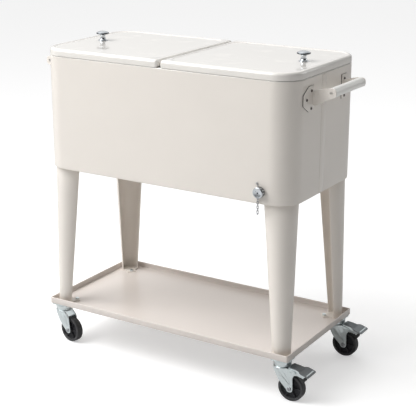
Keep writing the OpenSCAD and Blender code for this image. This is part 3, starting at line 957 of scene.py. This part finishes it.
@dataclass
class Leg:
    """One tapered gutter of sheet steel, wide under the chest and narrow on the tray."""

    side: Side
    end: End
    top_radius: float = 44
    foot_radius: float = 24
    half_angle: float = 110
    sheet: float = 2.2

    def build(self) -> None:
        """Makes the gutter, open towards the middle of the cart."""
        name = f"leg_{self.end.name.lower()}_{self.side.name.lower()}"
        low, high = corners(name)
        blank = Blank()
        turn = math.radians(45 - self.half_angle)
        first = blank.bm.verts.new((
            self.top_radius * (math.cos(turn) - 1), self.top_radius * (math.sin(turn) - 1), 0,
        ))
        bmesh.ops.spin(
            blank.bm, geom=[first], cent=(-self.top_radius, -self.top_radius, 0), axis=(0, 0, 1),
            angle=math.radians(2 * self.half_angle), steps=40, use_merge=False,
        )
        height = high.z - low.z
        taper = self.foot_radius / self.top_radius
        rows = 8
        edges = list(blank.bm.edges)
        for row in range(1, rows + 1):
            grown = bmesh.ops.extrude_edge_only(blank.bm, edges=edges)["geom"]
            verts = [item for item in grown if isinstance(item, bmesh.types.BMVert)]
            edges = [item for item in grown if isinstance(item, bmesh.types.BMEdge)]
            shrink = (1 + (taper - 1) * row / rows) / (1 + (taper - 1) * (row - 1) / rows)
            bmesh.ops.scale(blank.bm, vec=(shrink, shrink, 1), verts=verts)
            bmesh.ops.translate(blank.bm, vec=(0, 0, -height / rows), verts=verts)
        bmesh.ops.recalc_face_normals(blank.bm, faces=blank.bm.faces)
        outward = sum((face.normal.x + face.normal.y for face in blank.bm.faces), 0.0)
        if outward < 0:
            bmesh.ops.reverse_faces(blank.bm, faces=blank.bm.faces)
        bmesh.ops.solidify(blank.bm, geom=blank.bm.faces[:], thickness=self.sheet)
        blank.soften(0.7)
        x = high.x if self.side is Side.RIGHT else low.x
        y = high.y if self.end is End.REAR else low.y
        flip = Matrix.Diagonal((self.side.value, self.end.value, 1, 1))
        blank.moved(at(x, y, high.z) @ flip)
        blank.make(name + "_gutter", "cart", [LEG_ENAMEL], Slot.CREAM, [name])


@dataclass
class Tray:
    """The folded shelf: flat floor, upright rim and a rolled hem along its top."""

    corner: float = 4
    sheet: float = 1.5
    hem: float = 3
    hem_drop: float = 5
    fold: float = 1.6

    def build(self) -> None:
        """Makes the shelf and dresses the plates and bolts that join it to the legs."""
        low, high = corners("tray")
        centre = ((low.x + high.x) / 2, (low.y + high.y) / 2)
        foot = Section(centre, high.x - low.x, high.y - low.y, low.z, self.corner)
        top, floor = high.z, low.z + self.sheet
        profile = [(self.fold + 6, low.z), (self.fold, low.z), (self.fold * 0.3, low.z + self.fold * 0.3),
                   (0, low.z + self.fold)]
        profile += arc((self.hem / 2, top - self.hem / 2), self.hem / 2, 180, 0, 6)
        profile += [(self.hem, top - self.hem_drop), (self.sheet, top - self.hem_drop - 0.6),
                    (self.sheet, floor + self.fold),
                    (self.sheet + self.fold * 0.3, floor + self.fold * 0.3),
                    (self.sheet + self.fold, floor), (self.sheet + 8, floor)]
        blank = Blank().stack([foot.inset(*step) for step in profile], 4)
        blank.make("shelf_tray", "cart", [TRAY_ENAMEL_PAINTED_SHADE], Slot.CREAM, ["tray"])
        dressed(["leg_top_plates", "leg_foot_plates"], LEG_ENAMEL)
        dressed(["leg_bolts", "caster_bolts"], ZINC)


# Casters ------------------------------------------------------------------


@dataclass
class Caster:
    """One swivel caster: plate, raceway, stamped fork, axle and moulded wheel."""

    side: Side
    end: End
    plate_half: float = 28
    plate_corner: float = 14
    plate_thick: float = 2.5
    race: float = 24
    crown_top: float = 94
    crown_thick: float = 3
    apron_low: float = 83
    gap: float = 27
    sheet: float = 2.5
    tip: float = 9.5
    axle: float = 4
    nut: float = 6.9
    tread: float = 7.5
    wheel_width: float = 20
    hub_width: float = 25
    spokes: int = 6

    @property
    def word(self) -> str:
        """The corner as the names have it."""
        return f"{self.end.name.lower()}_{self.side.name.lower()}"

    @property
    def braked(self) -> bool:
        """Only the right-hand casters have a brake."""
        return self.side is Side.RIGHT

    def build(self) -> None:
        """Makes the four pieces in the fork's own frame and places them."""
        swivel, spin = pivot(f"swivel_{self.word}"), pivot(f"wheel_spin_{self.word}")
        reach = spin - swivel
        self.trail = math.hypot(reach.x, reach.y)
        self.radius = spin.z
        here = at(swivel.x, swivel.y)
        self.turned = here @ Matrix.Rotation(math.atan2(reach.y, reach.x), 4, "Z")
        self._plate(here)
        self._fork()
        self._axle()
        self._wheel()

    def _plate(self, here: Matrix) -> None:
        """The mounting plate with its raceway cup and the kingpin's riveted head.

        Args:
            here: the move to the swivel axis.
        """
        top = corners(f"caster_plate_{self.word}")[1].z
        under = top - self.plate_thick
        square = Section((0, 0), 2 * self.plate_half, 2 * self.plate_half, under, self.plate_corner)
        sides = [(0.5, under), (0, under + 0.5), (0, top - 0.4), (0.3, top)]
        blank = Blank().stack([square.inset(*step) for step in sides], 8)
        low = corners(f"caster_plate_{self.word}")[0].z
        race_low = under - 11.5
        cup = [(5, under), (15, under)] + arc((self.race - 3, under - 4.5), 3, 70, 0, 4)
        cup += [(self.race, race_low + 1), (self.race - 0.7, race_low), (self.race - 2.4, race_low),
                (self.race - 3, race_low + 1), (self.race - 3, under - 6), (14, under - 3), (5, under - 3)]
        pin = [(0, low + 0.3), (6, low), (8.4, low + 0.8), (9, low + 2), (9, low + 4), (5, low + 4),
               (5, under - 2),
               (0, under - 2)]
        blank.add(Blank().turn(cup, 48, closed=True)).add(Blank().turn(pin, 32))
        blank.moved(here)
        blank.make(f"swivel_plate_{self.word}", "cart", [ZINC], Slot.ZINC, [f"caster_plate_{self.word}"])

    def _fork(self) -> None:
        """The crown, its rolled front and the two legs, with a pressed rib down each."""
        top, thick = self.crown_top, self.crown_thick
        outer = self.gap / 2 + self.sheet
        blank = Blank().turn([(5.2, top - thick), (self.race - 1.5, top - thick)]
                             + arc((self.race - 1.5, top - thick + 1.5), 1.5, -90, 90, 6)
                             + [(self.race - 3.5, top), (self.race - 3.5, top + 9),
                                (self.race - 4.2, top + 10),
                                (self.race - 6, top + 10), (self.race - 6, top + 0.5), (5.2, top + 0.3)],
                             48, closed=True)
        back = 22 if self.braked else 18
        bridge = [(-4, -outer, 0), (back, -outer, 2), (back, outer, 2), (-4, outer, 0)]
        blank.add(Blank().plate(bridge, thick, 0.6).moved(at(0, 0, top - thick)))
        for sign in (-1, 1):
            leg = Blank().plate(self._leg_outline(), self.sheet, 0.7, 6)
            rib = Blank().plate([(-8, top - 9, 3), (2, 66, 4), (self.trail - 4, self.radius + 14, 4),
                                 (self.trail + 3, self.radius + 14, 4), (14, top - 14, 5)], 0.7, 0.55, 4)
            rib.moved(at(0, 0, self.sheet - 0.05) if sign < 0 else at(0, 0, -0.65))
            leg.add(rib)
            y = self.gap / 2 + self.sheet if sign > 0 else -self.gap / 2
            blank.add(leg.moved(at(0, y) @ TO_XZ))
        blank.add(self._front_roll(outer))
        if self.braked:
            pin = pivot(f"brake_{self.end.name.lower()}")
            swivel = pivot(f"swivel_{self.word}")
            rivet = Blank().turn([(0, 0), (2.5, 0), (2.5, 2 * outer), (4, 2 * outer),
                                  (3.6, 2 * outer + 1.1),
                                  (1.6, 2 * outer + 1.4), (0, 2 * outer + 0.8)], 20)
            rivet.moved(at(pin.x - swivel.x, outer, pin.z) @ TO_XZ)
            blank.add(rivet)
        blank.moved(self.turned)
        blank.make(f"fork_{self.word}_stamping", f"fork_{self.word}", [ZINC], Slot.ZINC,
                   [f"caster_fork_{self.word}"])

    def _leg_outline(self) -> list[Triple]:
        """Outline of a fork leg in X and Z, with how far each corner is rounded.

        Returns:
            The corners, as for contour().
        """
        x, z, tip = self.trail, self.radius, self.tip
        front = [(x - tip, z - 2, 3), (-2, 55, 6), (-18, 83, 5), (-17, self.crown_top - 0.3, 1)]
        if self.braked:
            back = [(14, self.crown_top - 0.3, 3), (38, 91.5, 5), (46, 86, 3), (44.5, 79, 4), (37, 72, 6)]
        else:
            back = [(8, self.crown_top - 0.3, 3), (20, 89, 5), (30, 81, 5), (34, 72, 6)]
        across, down = tip * 0.7, tip * 0.8
        lower = [(x + tip, z, 5), (x + across, z - down, 3), (x, z - tip, 4), (x - across, z - down, 3)]
        return front + back + lower

    def _front_roll(self, outer: float) -> Blank:
        """The curved front apron under the crown, between the two legs.

        Args:
            outer: half the fork's outer width.

        Returns:
            The apron.
        """
        half = math.degrees(math.asin(outer / self.race))
        blank = Blank()
        top, low, inside = self.crown_top - 1, self.apron_low, self.race - self.sheet
        drop = [(self.race - 1.2, top), (self.race, self.crown_top - 3), (self.race - 0.6, low),
                (inside - 0.6, low), (inside, top)]
        start = math.radians(180 - half)
        verts = [blank.bm.verts.new((radius * math.cos(start), radius * math.sin(start), z))
                 for radius, z in drop]
        ends = blank.bm.faces.new(verts)
        edges = list(ends.edges)
        bmesh.ops.spin(blank.bm, geom=[ends] + edges + verts, cent=(0, 0, 0), axis=(0, 0, 1),
                       angle=math.radians(2 * half), steps=14)
        bmesh.ops.recalc_face_normals(blank.bm, faces=blank.bm.faces)
        return blank

    def _axle(self) -> None:
        """The axle with a hollow riveted head at one end and a locking nut at the other."""
        outer = self.gap / 2 + self.sheet
        rod = [(0, outer + 2.2), (self.axle, outer + 2.2), (self.axle, -outer - 1), (0, -outer - 1)]
        head = [(2.4, -outer - 0.6), (2.4, -outer - 2)] + arc((4.4, -outer - 1.2), 1.6, 250, 350, 4)
        head += [(6, -outer), (self.axle, -outer)]
        blank = Blank().turn(rod, 24).add(Blank().turn(head, 32, closed=True))
        hexagon = [(x, y, 0.6) for x, y in arc((0, 0), self.nut, 0, 300, 5)]
        nut = Blank().plate(hexagon, 4, 0.5, 2).moved(at(0, 0, outer))
        hub = self.turned @ at(self.trail, 0, self.radius)
        blank.add(nut).moved(hub @ Matrix.Rotation(math.radians(-90), 4, "X"))
        blank.make(f"axle_{self.word}_pin", f"fork_{self.word}", [STEEL], Slot.ZINC, [f"axle_{self.word}"])

    def _wheel(self) -> None:
        """A moulded wheel with a crowned tread, dished webs, hub and spokes."""
        full, rim = self.radius - 0.02, self.radius - self.tread
        half = self.wheel_width / 2
        tread = arc((full - 2.6, half - 2.6), 2.6, 80, 12, 4) + [(full, half - 5.4)]
        side = [(r, -z) for r, z in reversed(tread)]
        ring = [(rim, half - 1.6), (rim + 0.6, half - 0.7), (rim + 1.8, half - 0.35),
                (full - 4.2, half - 0.2)]
        back = [(r, -z) for r, z in reversed(ring)]
        inside = [(rim - 1, -half + 4), (rim - 1, half - 4)]
        tyre = Blank().turn(ring + tread + side + back + inside, 96, closed=True)
        tyre.paint(1)
        hub, web = 10, 3
        face = self.hub_width / 2
        disc = [(rim, web), (hub + 1.2, web), (hub, web + 1.2), (hub - 0.4, face - 0.8), (hub - 1.4, face),
                (self.axle + 1.2, face), (self.axle + 0.2, face - 1)]
        core = Blank().turn(disc + [(r, -z) for r, z in reversed(disc)], 72, closed=True)
        deep = half - 2.4
        blade = [(hub - 1, -1.1, 0), (rim + 0.5, -1.3, 0), (rim + 0.5, 1.3, 0), (hub - 1, 1.1, 0)]
        for spoke in range(self.spokes):
            turn = Matrix.Rotation(math.tau * spoke / self.spokes, 4, "Z")
            core.add(Blank().plate(blade, 2 * deep, 0.35).moved(turn @ at(0, 0, -deep)))
        tyre.add(core)
        tyre.moved(self.turned @ at(self.trail, 0, self.radius) @ TO_XZ)
        tyre.make(f"wheel_{self.word}_moulding", f"wheel_{self.word}", [NYLON, TREAD], Slot.NYLON,
                  [f"wheel_{self.word}"])


@dataclass
class Brake:
    """The foot pedal over a braked caster, and the rubber block it presses on the tread."""

    end: End
    half_stem: float = 15
    half_tip: float = 24
    sheet: float = 2
    flange_in: float = 11
    flange: float = 2.2
    ridge: float = 0.8
    cuts: int = 24

    def build(self) -> None:
        """Makes the pedal and dresses the block."""
        word = self.end.name.lower()
        swivel = pivot(f"swivel_{word}_right")
        self.hinge = pivot(f"brake_{word}") - Vector((swivel.x, swivel.y, 0))
        pedal = self._foot_plate()
        for y in (-self.flange_in, self.flange_in + self.flange):
            pedal.add(Blank().plate(self._flange_outline(), self.flange, 0.5, 3).moved(at(0, y) @ TO_XZ))
        pedal.moved(at(swivel.x, swivel.y))
        pedal.make(f"pedal_{word}_stamping", f"brake_{word}", [ZINC, DARK_ZINC], Slot.ZINC,
                   [f"brake_pedal_{word}"])
        block = Blank().plate(self._block_outline(), 2 * self.flange_in - 0.2, 0.8, 4)
        block.moved(at(swivel.x, swivel.y + self.flange_in - 0.1) @ TO_XZ)
        block.make(f"brake_block_{word}", f"brake_{word}", [RUBBER], Slot.RUBBER, [f"brake_pad_{word}"])

    @staticmethod
    def _height(x: float) -> float:
        """Height of the foot plate's top at a distance from the swivel axis.

        Args:
            x: the distance.

        Returns:
            The height of the plate's top.
        """
        stops = [(26, 99), (46, 97), (74, 90), (82, 87), (87, 86)]
        for (x0, z0), (x1, z1) in zip(stops, stops[1:]):
            if x <= x1:
                return z0 + (z1 - z0) * (x - x0) / (x1 - x0)
        return stops[-1][1]

    def _foot_plate(self) -> Blank:
        """The ridged plate: a stem that widens into the tread bar.

        Returns:
            The plate, bent to its heights.
        """
        stem, tip = self.half_stem, self.half_tip
        near, far, wide = 26.5, 86.5, 55
        half = [(near, stem, 3), (wide, stem, 4), (wide + 6, tip, 5), (far, tip, 5)]
        blank = Blank().plate([(x, -y, r) for x, y, r in half] + [(x, y, r) for x, y, r in reversed(half)],
                              self.sheet, 0, 5)
        blank.paint(1)
        for y in (-9.5, -3.2, 3.2, 9.5):
            low, high = y - 1.1, y + 1.1
            rib = [(near + 4, low, 1), (wide + 5, low, 1), (wide + 5, high, 1), (near + 4, high, 1)]
            blank.add(Blank().plate(rib, self.sheet + self.ridge, 0.3, 3).paint(1))
        bar = [(far - 8, -tip + 4, 1), (far - 5, -tip + 4, 1), (far - 5, tip - 4, 1), (far - 8, tip - 4, 1)]
        blank.add(Blank().plate(bar, self.sheet + self.ridge, 0.3, 3))
        for step in range(1, self.cuts):
            x = near + (far - near) * step / self.cuts
            geometry = blank.bm.verts[:] + blank.bm.edges[:] + blank.bm.faces[:]
            bmesh.ops.bisect_plane(blank.bm, geom=geometry, plane_co=(x, 0, 0), plane_no=(1, 0, 0),
                                   dist=0.001)
        for vert in blank.bm.verts:
            vert.co.z += self._height(vert.co.x) - self.sheet - self.ridge
        return blank

    def _flange_outline(self) -> list[Triple]:
        """Side flange in X and Z, toothed along the bottom.

        Returns:
            The corners, as for contour().
        """
        x, z = self.hinge.x, self.hinge.z
        top = [(x - 5.4, 96.5, 1), (46, 94.6, 2), (72, 88, 1)]
        teeth = [(73, 80, 1.5), (69, 77.5, 1), (67, 73.5, 1.2), (63.5, 74, 1), (61, 77, 1), (58.5, 75, 1),
                 (56, 76.5, 1), (50, 78, 3)]
        return top + teeth + [(40, 76, 4), (x + 3, z - 6, 3), (x - 4.5, z - 4, 3)]

    @staticmethod
    def _block_outline() -> list[Triple]:
        """Rubber block in X and Z, hollowed to clear the tread.

        Returns:
            The corners, as for contour().
        """
        centre, radius = (29, 36.5), 40.3
        angles = [math.radians(degrees) for degrees in (55, 48, 41, 35)]
        hollow = [(centre[0] + radius * math.cos(a), centre[1] + radius * math.sin(a), 0) for a in angles]
        return [(51, 80.5, 1.5)] + hollow + [(67, 60.5, 2), (70.5, 75, 2), (67.5, 80.5, 1.5)]


# Handles ------------------------------------------------------------------


@dataclass
class Handle:
    """One side handle: two plates on rubber pads, two arms and a round grip; the pads' black is also painted
    shade in the gap round each plate.
    """

    side: Side
    plate_in: float = 80
    plate_out: float = 135
    pad: float = 1.2
    sheet: float = 2.6
    arm_at: float = 84
    arm_low: float = 767
    arm_high: float = 803
    grip: float = 12.5

    @property
    def word(self) -> str:
        """The side as the names have it."""
        return self.side.name.lower()

    def build(self) -> None:
        """Makes the brackets and the grip as on the right, mirrored for the left."""
        low, high = corners(f"handle_brackets_{self.word}")
        grip_low, grip_high = corners(f"handle_grip_{self.word}")
        wall = corners("body_shell")[1].x
        y = (low.y + high.y) / 2
        self.centre = Vector((abs(grip_low.x + grip_high.x) / 2, y, (grip_low.z + grip_high.z) / 2))
        flip = Matrix.Scale(self.side.value, 4, (1, 0, 0))
        brackets = Blank()
        for sign in (-1, 1):
            half = self._plate(low.z, high.z, wall).add(self._arm(wall))
            brackets.add(half.moved(at(0, y) @ Matrix.Scale(sign, 4, (0, 1, 0))))
        brackets.moved(flip)
        brackets.make(f"handle_arms_{self.word}", "cart", [BODY_ENAMEL], Slot.CREAM,
                      [f"handle_brackets_{self.word}"])
        self._grip(flip)

    def _plate(self, low: float, high: float, wall: float) -> Blank:
        """Half-octagon mounting plate with softened edges.

        Args:
            low: the plate's lowest height.
            high: the plate's highest height.
            wall: X of the wall's face.

        Returns:
            The plate of one half.
        """
        near, far = self.plate_in, self.plate_out
        cut = (far - near) * 0.51
        side_low, side_high = low + 0.286 * (high - low), high - 0.286 * (high - low)
        points = [(near, low, 1), (far - cut, low, 3), (far, side_low, 3), (far, side_high, 3),
                  (far - cut, high, 3), (near, high, 1)]
        plate = Blank().plate(points, self.sheet - self.pad, 0.5, 4)
        return plate.moved(at(wall + self.pad, 0) @ TO_YZ)

    def _arm(self, wall: float) -> Blank:
        """Arm in side view: it leaves the plate upright and closes round the grip.

        Args:
            wall: X of the wall's face.

        Returns:
            The arm of one half.
        """
        x, z, grip = self.centre.x, self.centre.z, self.grip
        root = wall + self.pad + 0.2
        low = [(root, self.arm_low, 1), (wall + 13, self.arm_low + 1.5, 8),
               (wall + 29, self.arm_low + 10, 8),
               (x + 3, z - grip, 6)]
        around = [(x + grip * 0.93, z - grip * 0.72, 5), (x + grip, z + 2, 5),
                  (x + grip * 0.75, z + grip * 0.85, 4)]
        high = [(x - 2, z + grip, 5), (wall + 29, self.arm_high + 7.5, 8), (root, self.arm_high, 1)]
        arm = Blank().plate(low + around + high, self.sheet, 0.6, 6)
        arm.moved(at(0, self.arm_at + self.sheet) @ TO_XZ)
        bend = Blank()
        bend.plate([(root - 0.2, 0, 0), (root + 2.4, 0, 0), (root + 1.2, 0.35, 0.5),
                    (root + 0.35, 1.2, 0.5),
                    (root - 0.2, 2.4, 0)], self.arm_high - self.arm_low - 1, 0)
        bend.moved(at(0, self.arm_at + self.sheet, self.arm_low + 0.5))
        return arm.add(bend)

    def _grip(self, flip: Matrix) -> None:
        """The grip tube with rounded end caps.

        Args:
            flip: the mirror for the handle's side.
        """
        low, high = corners(f"handle_grip_{self.word}")
        half = (high.y - low.y) / 2 - 0.1
        end = arc((self.grip - 1.4, half - 1.4), 1.4, 90, 0, 4)
        profile = [(4.1, half - 0.4), (5, half)] + end + [(self.grip, half - 5), (self.grip, 0)]
        profile += [(self.grip, 5 - half)] + [(r, -z) for r, z in reversed(end)] + [(5, -half),
                                                                                    (4.1, 0.4 - half)]
        tube = Blank().turn(profile, 48, closed=True)
        tube.moved(flip @ at(*self.centre) @ TO_XZ)
        tube.make(f"grip_{self.word}_tube", "cart", [GRIP_ENAMEL], Slot.GRIP, [f"handle_grip_{self.word}"])


# Drain --------------------------------------------------------------------


@dataclass
class Drain:
    """The drain cap, the wire on its neck and the short chain."""

    cap_back: float = 3
    neck_wire: float = 0.9
    eye_wire: float = 0.8
    thin_wire: float = 0.7
    eye_radius: float = 2.2
    play: float = 0.05
    ball: float = 2.55
    link_wire: float = 0.8
    link_radius: float = 2.4
    link_straight: float = 3
    link_pitch: float = 6.1
    links: int = 6
    flutes: int = 12

    def build(self) -> None:
        """Makes the cap, the wire and the chain."""
        self.centre = pivot("drain_cap_turn")
        self.eye = pivot("chain_swing") - self.centre
        self._cap()
        self._wire()
        self._chain()

    def _cap(self) -> None:
        """The fluted cap with a dished face, a centre dimple and a smaller one beside it."""
        low, high = corners("drain_cap")
        radius = (high.x - low.x) / 2
        front = self.centre.y - low.y
        back = self.cap_back
        profile = [(9.2, back + 0.4), (10, back), (radius - 0.6, back), (radius, back + 0.8),
                   (radius, front - 2.6)]
        profile += arc((radius - 2.2, front - 2.2), 2.2, 10, 80, 4)
        profile += [(radius - 3.4, front - 0.05), (radius - 4.4, front - 0.6), (3, front - 0.9),
                    (2.1, front - 1.1), (1.7, front - 2.6), (0, front - 2.9)]
        cap = Blank().turn(profile + [(0, front - 4.6), (9.2, front - 4.6)], 72, closed=True)
        # The centre dimple takes the dark chrome as painted shade, and the fluted sides take it as a painted
        # dark reflection of the studio
        cap.paint(1, lambda face: math.hypot(*face.calc_center_median().xy) < 2.4)
        cap.paint(1, lambda face: abs(face.normal.z) < 0.3)
        cutter = Blank()
        for flute in range(self.flutes):
            groove = Blank().turn([(0, back - 2), (1.3, back - 2), (1.3, front - 3.5),
                                   (0, front - 2.4)], 14)
            turn = Matrix.Rotation(math.tau * flute / self.flutes, 4, "Z")
            cutter.add(groove.moved(turn @ at(radius + 0.55, 0)))
        spot = Blank().turn([(0, front - 2), (0.9, front - 2), (0.9, front + 1), (0, front + 1)], 14)
        cutter.add(spot.moved(at(-5.2, 3.2)))
        place = at(*self.centre) @ TO_XZ
        cap.moved(place).make("drain_cap_turned", "drain_cap", [CHROME, PAINTED_REFLECTION_CHROME], Slot.CHROME,
                              ["drain_cap"], cutter.moved(place))

    def _ring(self, radius: float, wire: float) -> Blank:
        """A ring of round wire about the Z axis."""
        return Blank().turn(arc((radius, 0), wire, 0, 330, 11), 32, closed=True)

    def _rod(self, start: Vector, end: Vector, wire: float) -> Blank:
        """A straight length of wire with rounded ends.

        Args:
            start: one end.
            end: the other end.
            wire: the wire's radius.

        Returns:
            The rod.
        """
        along = end - start
        half_round = arc((0, along.length), wire, 0, 90, 3)
        rod = Blank().turn([(0, -wire)] + [(r, -z + along.length) for r, z in reversed(half_round[:-1])]
                           + half_round, 12)
        return rod.moved(Matrix.Translation(start) @ along.to_track_quat("Z", "Y").to_matrix().to_4x4())

    def _wire(self) -> None:
        """The wire ring round the neck, with an upper eye and a lower eye for the chain."""
        neck, plane = 10.2, -1.6
        upper = Vector((-9.5, plane, 20))
        blank = self._ring(neck, self.neck_wire).moved(at(0, plane) @ TO_XZ)
        blank.add(self._ring(self.eye_radius, self.eye_wire).moved(Matrix.Translation(upper) @ TO_XZ))
        blank.add(self._rod(Vector((-5.6, plane, 9)), upper + Vector((0.7, 0, -2.2)), self.eye_wire))
        top = self.eye + Vector((0, 0, self.eye_radius))
        knee = Vector((top.x, plane, top.z))
        blank.add(self._rod(knee + Vector((0, 0, 6.6)), knee, self.eye_wire))
        blank.add(self._rod(knee, top, self.eye_wire))
        blank.add(self._ring(self.eye_radius, self.thin_wire).moved(Matrix.Translation(self.eye) @ TO_XZ))
        blank.moved(at(*self.centre))
        blank.make("drain_wire_bent", "cart", [STEEL], Slot.CHROME, ["drain_wire"])

    def _link(self) -> Blank:
        """One oval link in X and Z, its top wire centred on z = 0.

        Returns:
            The link.
        """
        blank = Blank()
        ring = bmesh.ops.create_circle(blank.bm, segments=12, radius=self.link_wire,
                                       cap_ends=False)["verts"]
        bmesh.ops.translate(blank.bm, vec=(self.link_radius, 0, 0), verts=ring)
        edges = blank.bm.edges[:]
        bend_at = (0, 0, 0)
        verts, drop = ring, Vector((0, 0, -self.link_straight))
        for _ in range(2):
            spun = bmesh.ops.spin(blank.bm, geom=verts + edges, cent=bend_at, axis=(0, -1, 0),
                                  angle=math.pi,
                                  steps=10)["geom_last"]
            verts = [item for item in spun if isinstance(item, bmesh.types.BMVert)]
            edges = [item for item in spun if isinstance(item, bmesh.types.BMEdge)]
            grown = bmesh.ops.extrude_edge_only(blank.bm, edges=edges)["geom"]
            verts = [item for item in grown if isinstance(item, bmesh.types.BMVert)]
            edges = [item for item in grown if isinstance(item, bmesh.types.BMEdge)]
            bmesh.ops.translate(blank.bm, vec=drop, verts=verts)
            bend_at = tuple(Vector(bend_at) + drop)
            drop = -drop
        bmesh.ops.remove_doubles(blank.bm, verts=blank.bm.verts, dist=0.01)
        bmesh.ops.recalc_face_normals(blank.bm, faces=blank.bm.faces)
        return blank.moved(at(0, 0, -self.link_radius))

    def _chain(self) -> None:
        """The hanging links, turned crosswise in turn, and the ball at the end."""
        blank = Blank()
        top = self.link_wire + self.thin_wire + self.play - self.eye_radius
        for number in range(self.links):
            turn = Matrix.Rotation(math.radians(90 * ((number + 1) % 2)), 4, "Z")
            blank.add(self._link().moved(at(0, 0, top - number * self.link_pitch) @ turn))
        low = top - self.links * self.link_pitch - 2.6
        blank.add(Blank().turn(arc((0, low), self.ball, -90, 90, 14), 24))
        blank.moved(at(*(self.centre + self.eye)))
        blank.make("drain_chain_links", "drain_chain", [STEEL], Slot.CHROME, ["drain_chain"])


# Studio -------------------------------------------------------------------


@dataclass
class Studio:
    """Pale floor, soft dome of light and the camera."""

    azimuth: float = 31.803
    elevation: float = 17.506
    distance: float = 3.0945
    target: Triple = (0.03161, 0.00825, 0.4206)
    lens: float = 96.58
    sensor: float = 36
    key_azimuth: float = -48
    key_elevation: float = 52
    rear_azimuth: float = 212
    rear_elevation: float = 30
    dome_fill: float = 0.04
    dome_key: float = 1.65
    dome_rear: float = 1.1
    floor_lift: float = 0.44
    floor_half: float = 60

    def build(self) -> None:
        """Sets the stage."""
        scene = bpy.context.scene
        scene.view_settings.view_transform = "Standard"
        self._camera()
        self._floor()
        self._dome()
        self._softbox("key_light", -48, 48, 3.4, 2.2, 84)
        self._softbox("top_light", -20, 82, 3.2, 2.4, 5)
        self._softbox("rear_fill", 138, 24, 4.0, 1.6, 15)

    @staticmethod
    def _towards(azimuth: float, elevation: float) -> Vector:
        """Unit vector towards an azimuth, measured from the front to the right, and an elevation."""
        a, e = math.radians(azimuth), math.radians(elevation)
        return Vector((math.sin(a) * math.cos(e), -math.cos(a) * math.cos(e), math.sin(e)))

    def _camera(self) -> None:
        """The camera, looking down at the front right."""
        data = bpy.data.cameras.new("camera")
        data.sensor_width = self.sensor
        data.lens = self.lens
        camera = bpy.data.objects.new("camera", data)
        bpy.context.scene.collection.objects.link(camera)
        back = self._towards(self.azimuth, self.elevation)
        camera.location = Vector(self.target) + back * self.distance
        camera.rotation_mode = "QUATERNION"
        camera.rotation_quaternion = (-back).to_track_quat("-Z", "Y")
        bpy.context.scene.camera = camera

    def _floor(self) -> None:
        """A wide pale floor."""
        blank = bmesh.new()
        bmesh.ops.create_grid(blank, x_segments=1, y_segments=1, size=self.floor_half)
        mesh = bpy.data.meshes.new("floor")
        blank.to_mesh(mesh)
        blank.free()
        floor = bpy.data.objects.new("floor", mesh)
        bpy.context.scene.collection.objects.link(floor)
        material = bpy.data.materials.new("studio_floor")
        material.use_nodes = True
        recipe = Recipe(material.node_tree)
        diffuse = recipe.node("ShaderNodeBsdfDiffuse", {}, {"Color": (0.7, 0.7, 0.7, 1)})
        seen = recipe.node("ShaderNodeLightPath").outputs["Is Camera Ray"]
        lift = Signal(recipe, seen) * self.floor_lift
        glow = recipe.node("ShaderNodeEmission", {}, {"Strength": lift})
        both = recipe.node("ShaderNodeAddShader", {}, {0: diffuse.outputs[0], 1: glow.outputs[0]})
        recipe.node("ShaderNodeOutputMaterial", {}, {"Surface": both.outputs[0]})
        mesh.materials.append(material)

    def _dome(self) -> None:
        """A dome bright towards the key and the rear, dark on the right, and plain white where it is seen."""
        world = bpy.data.worlds.new("studio_dome")
        world.use_nodes = True
        bpy.context.scene.world = world
        recipe = Recipe(world.node_tree)
        here = recipe.node("ShaderNodeTexCoord").outputs["Generated"]
        lobes = []
        key, rear = (self.key_azimuth, self.key_elevation), (self.rear_azimuth, self.rear_elevation)
        for azimuth, elevation in (key, rear):
            towards = {0: here, 1: self._towards(azimuth, elevation)}
            facing = recipe.node("ShaderNodeVectorMath", {"operation": "DOT_PRODUCT"}, towards)
            lobes.append(Signal(recipe, facing.outputs["Value"]).at_least(0) ** 3)
        strength = lobes[0] * self.dome_key + lobes[1] * self.dome_rear + self.dome_fill
        light = recipe.node("ShaderNodeBackground", {}, {"Strength": strength})
        plain = recipe.node("ShaderNodeBackground", {}, {"Color": (1, 1, 1, 1), "Strength": 1.0})
        seen = recipe.node("ShaderNodeLightPath").outputs["Is Camera Ray"]
        mix = recipe.node("ShaderNodeMixShader", {}, {0: seen, 1: light.outputs[0], 2: plain.outputs[0]})
        recipe.node("ShaderNodeOutputWorld", {}, {"Surface": mix.outputs[0]})

    def _softbox(self, name: str, azimuth: float, elevation: float, away: float, size: float,
                 power: float) -> None:
        """One square softbox that looks at the cart.

        Args:
            name: the light's name.
            azimuth: where it stands, in degrees from the front to the right.
            elevation: how high it stands, in degrees.
            away: its distance in metres.
            size: its side in metres.
            power: its power in watts.
        """
        data = bpy.data.lights.new(name, "AREA")
        data.size = size
        data.energy = power
        lamp = bpy.data.objects.new(name, data)
        bpy.context.scene.collection.objects.link(lamp)
        back = self._towards(azimuth, elevation)
        lamp.location = Vector(self.target) + back * away
        lamp.rotation_mode = "QUATERNION"
        lamp.rotation_quaternion = (-back).to_track_quat("-Z", "Y")


def main() -> None:
    """Builds the stage and every sub-assembly in order."""
    logging.basicConfig(level=logging.INFO, format="%(message)s")
    Studio().build()
    Chest().build()
    Tub().build()
    for side in Side:
        Lid(side).build()
        Handle(side).build()
        for end in End:
            Leg(side, end).build()
            Caster(side, end).build()
    Tray().build()
    for end in End:
        Brake(end).build()
    Drain().build()
    # Black pads under the handle plates: a guessed rubber pad whose black is also painted shade in the gap
    # round each plate
    dressed(["handle_pads"], RUBBER)
    dressed(["handle_screws"], SCREW)
    dressed(["handle_rods"], GRIP_ENAMEL)


if __name__ == "__main__":
    main()
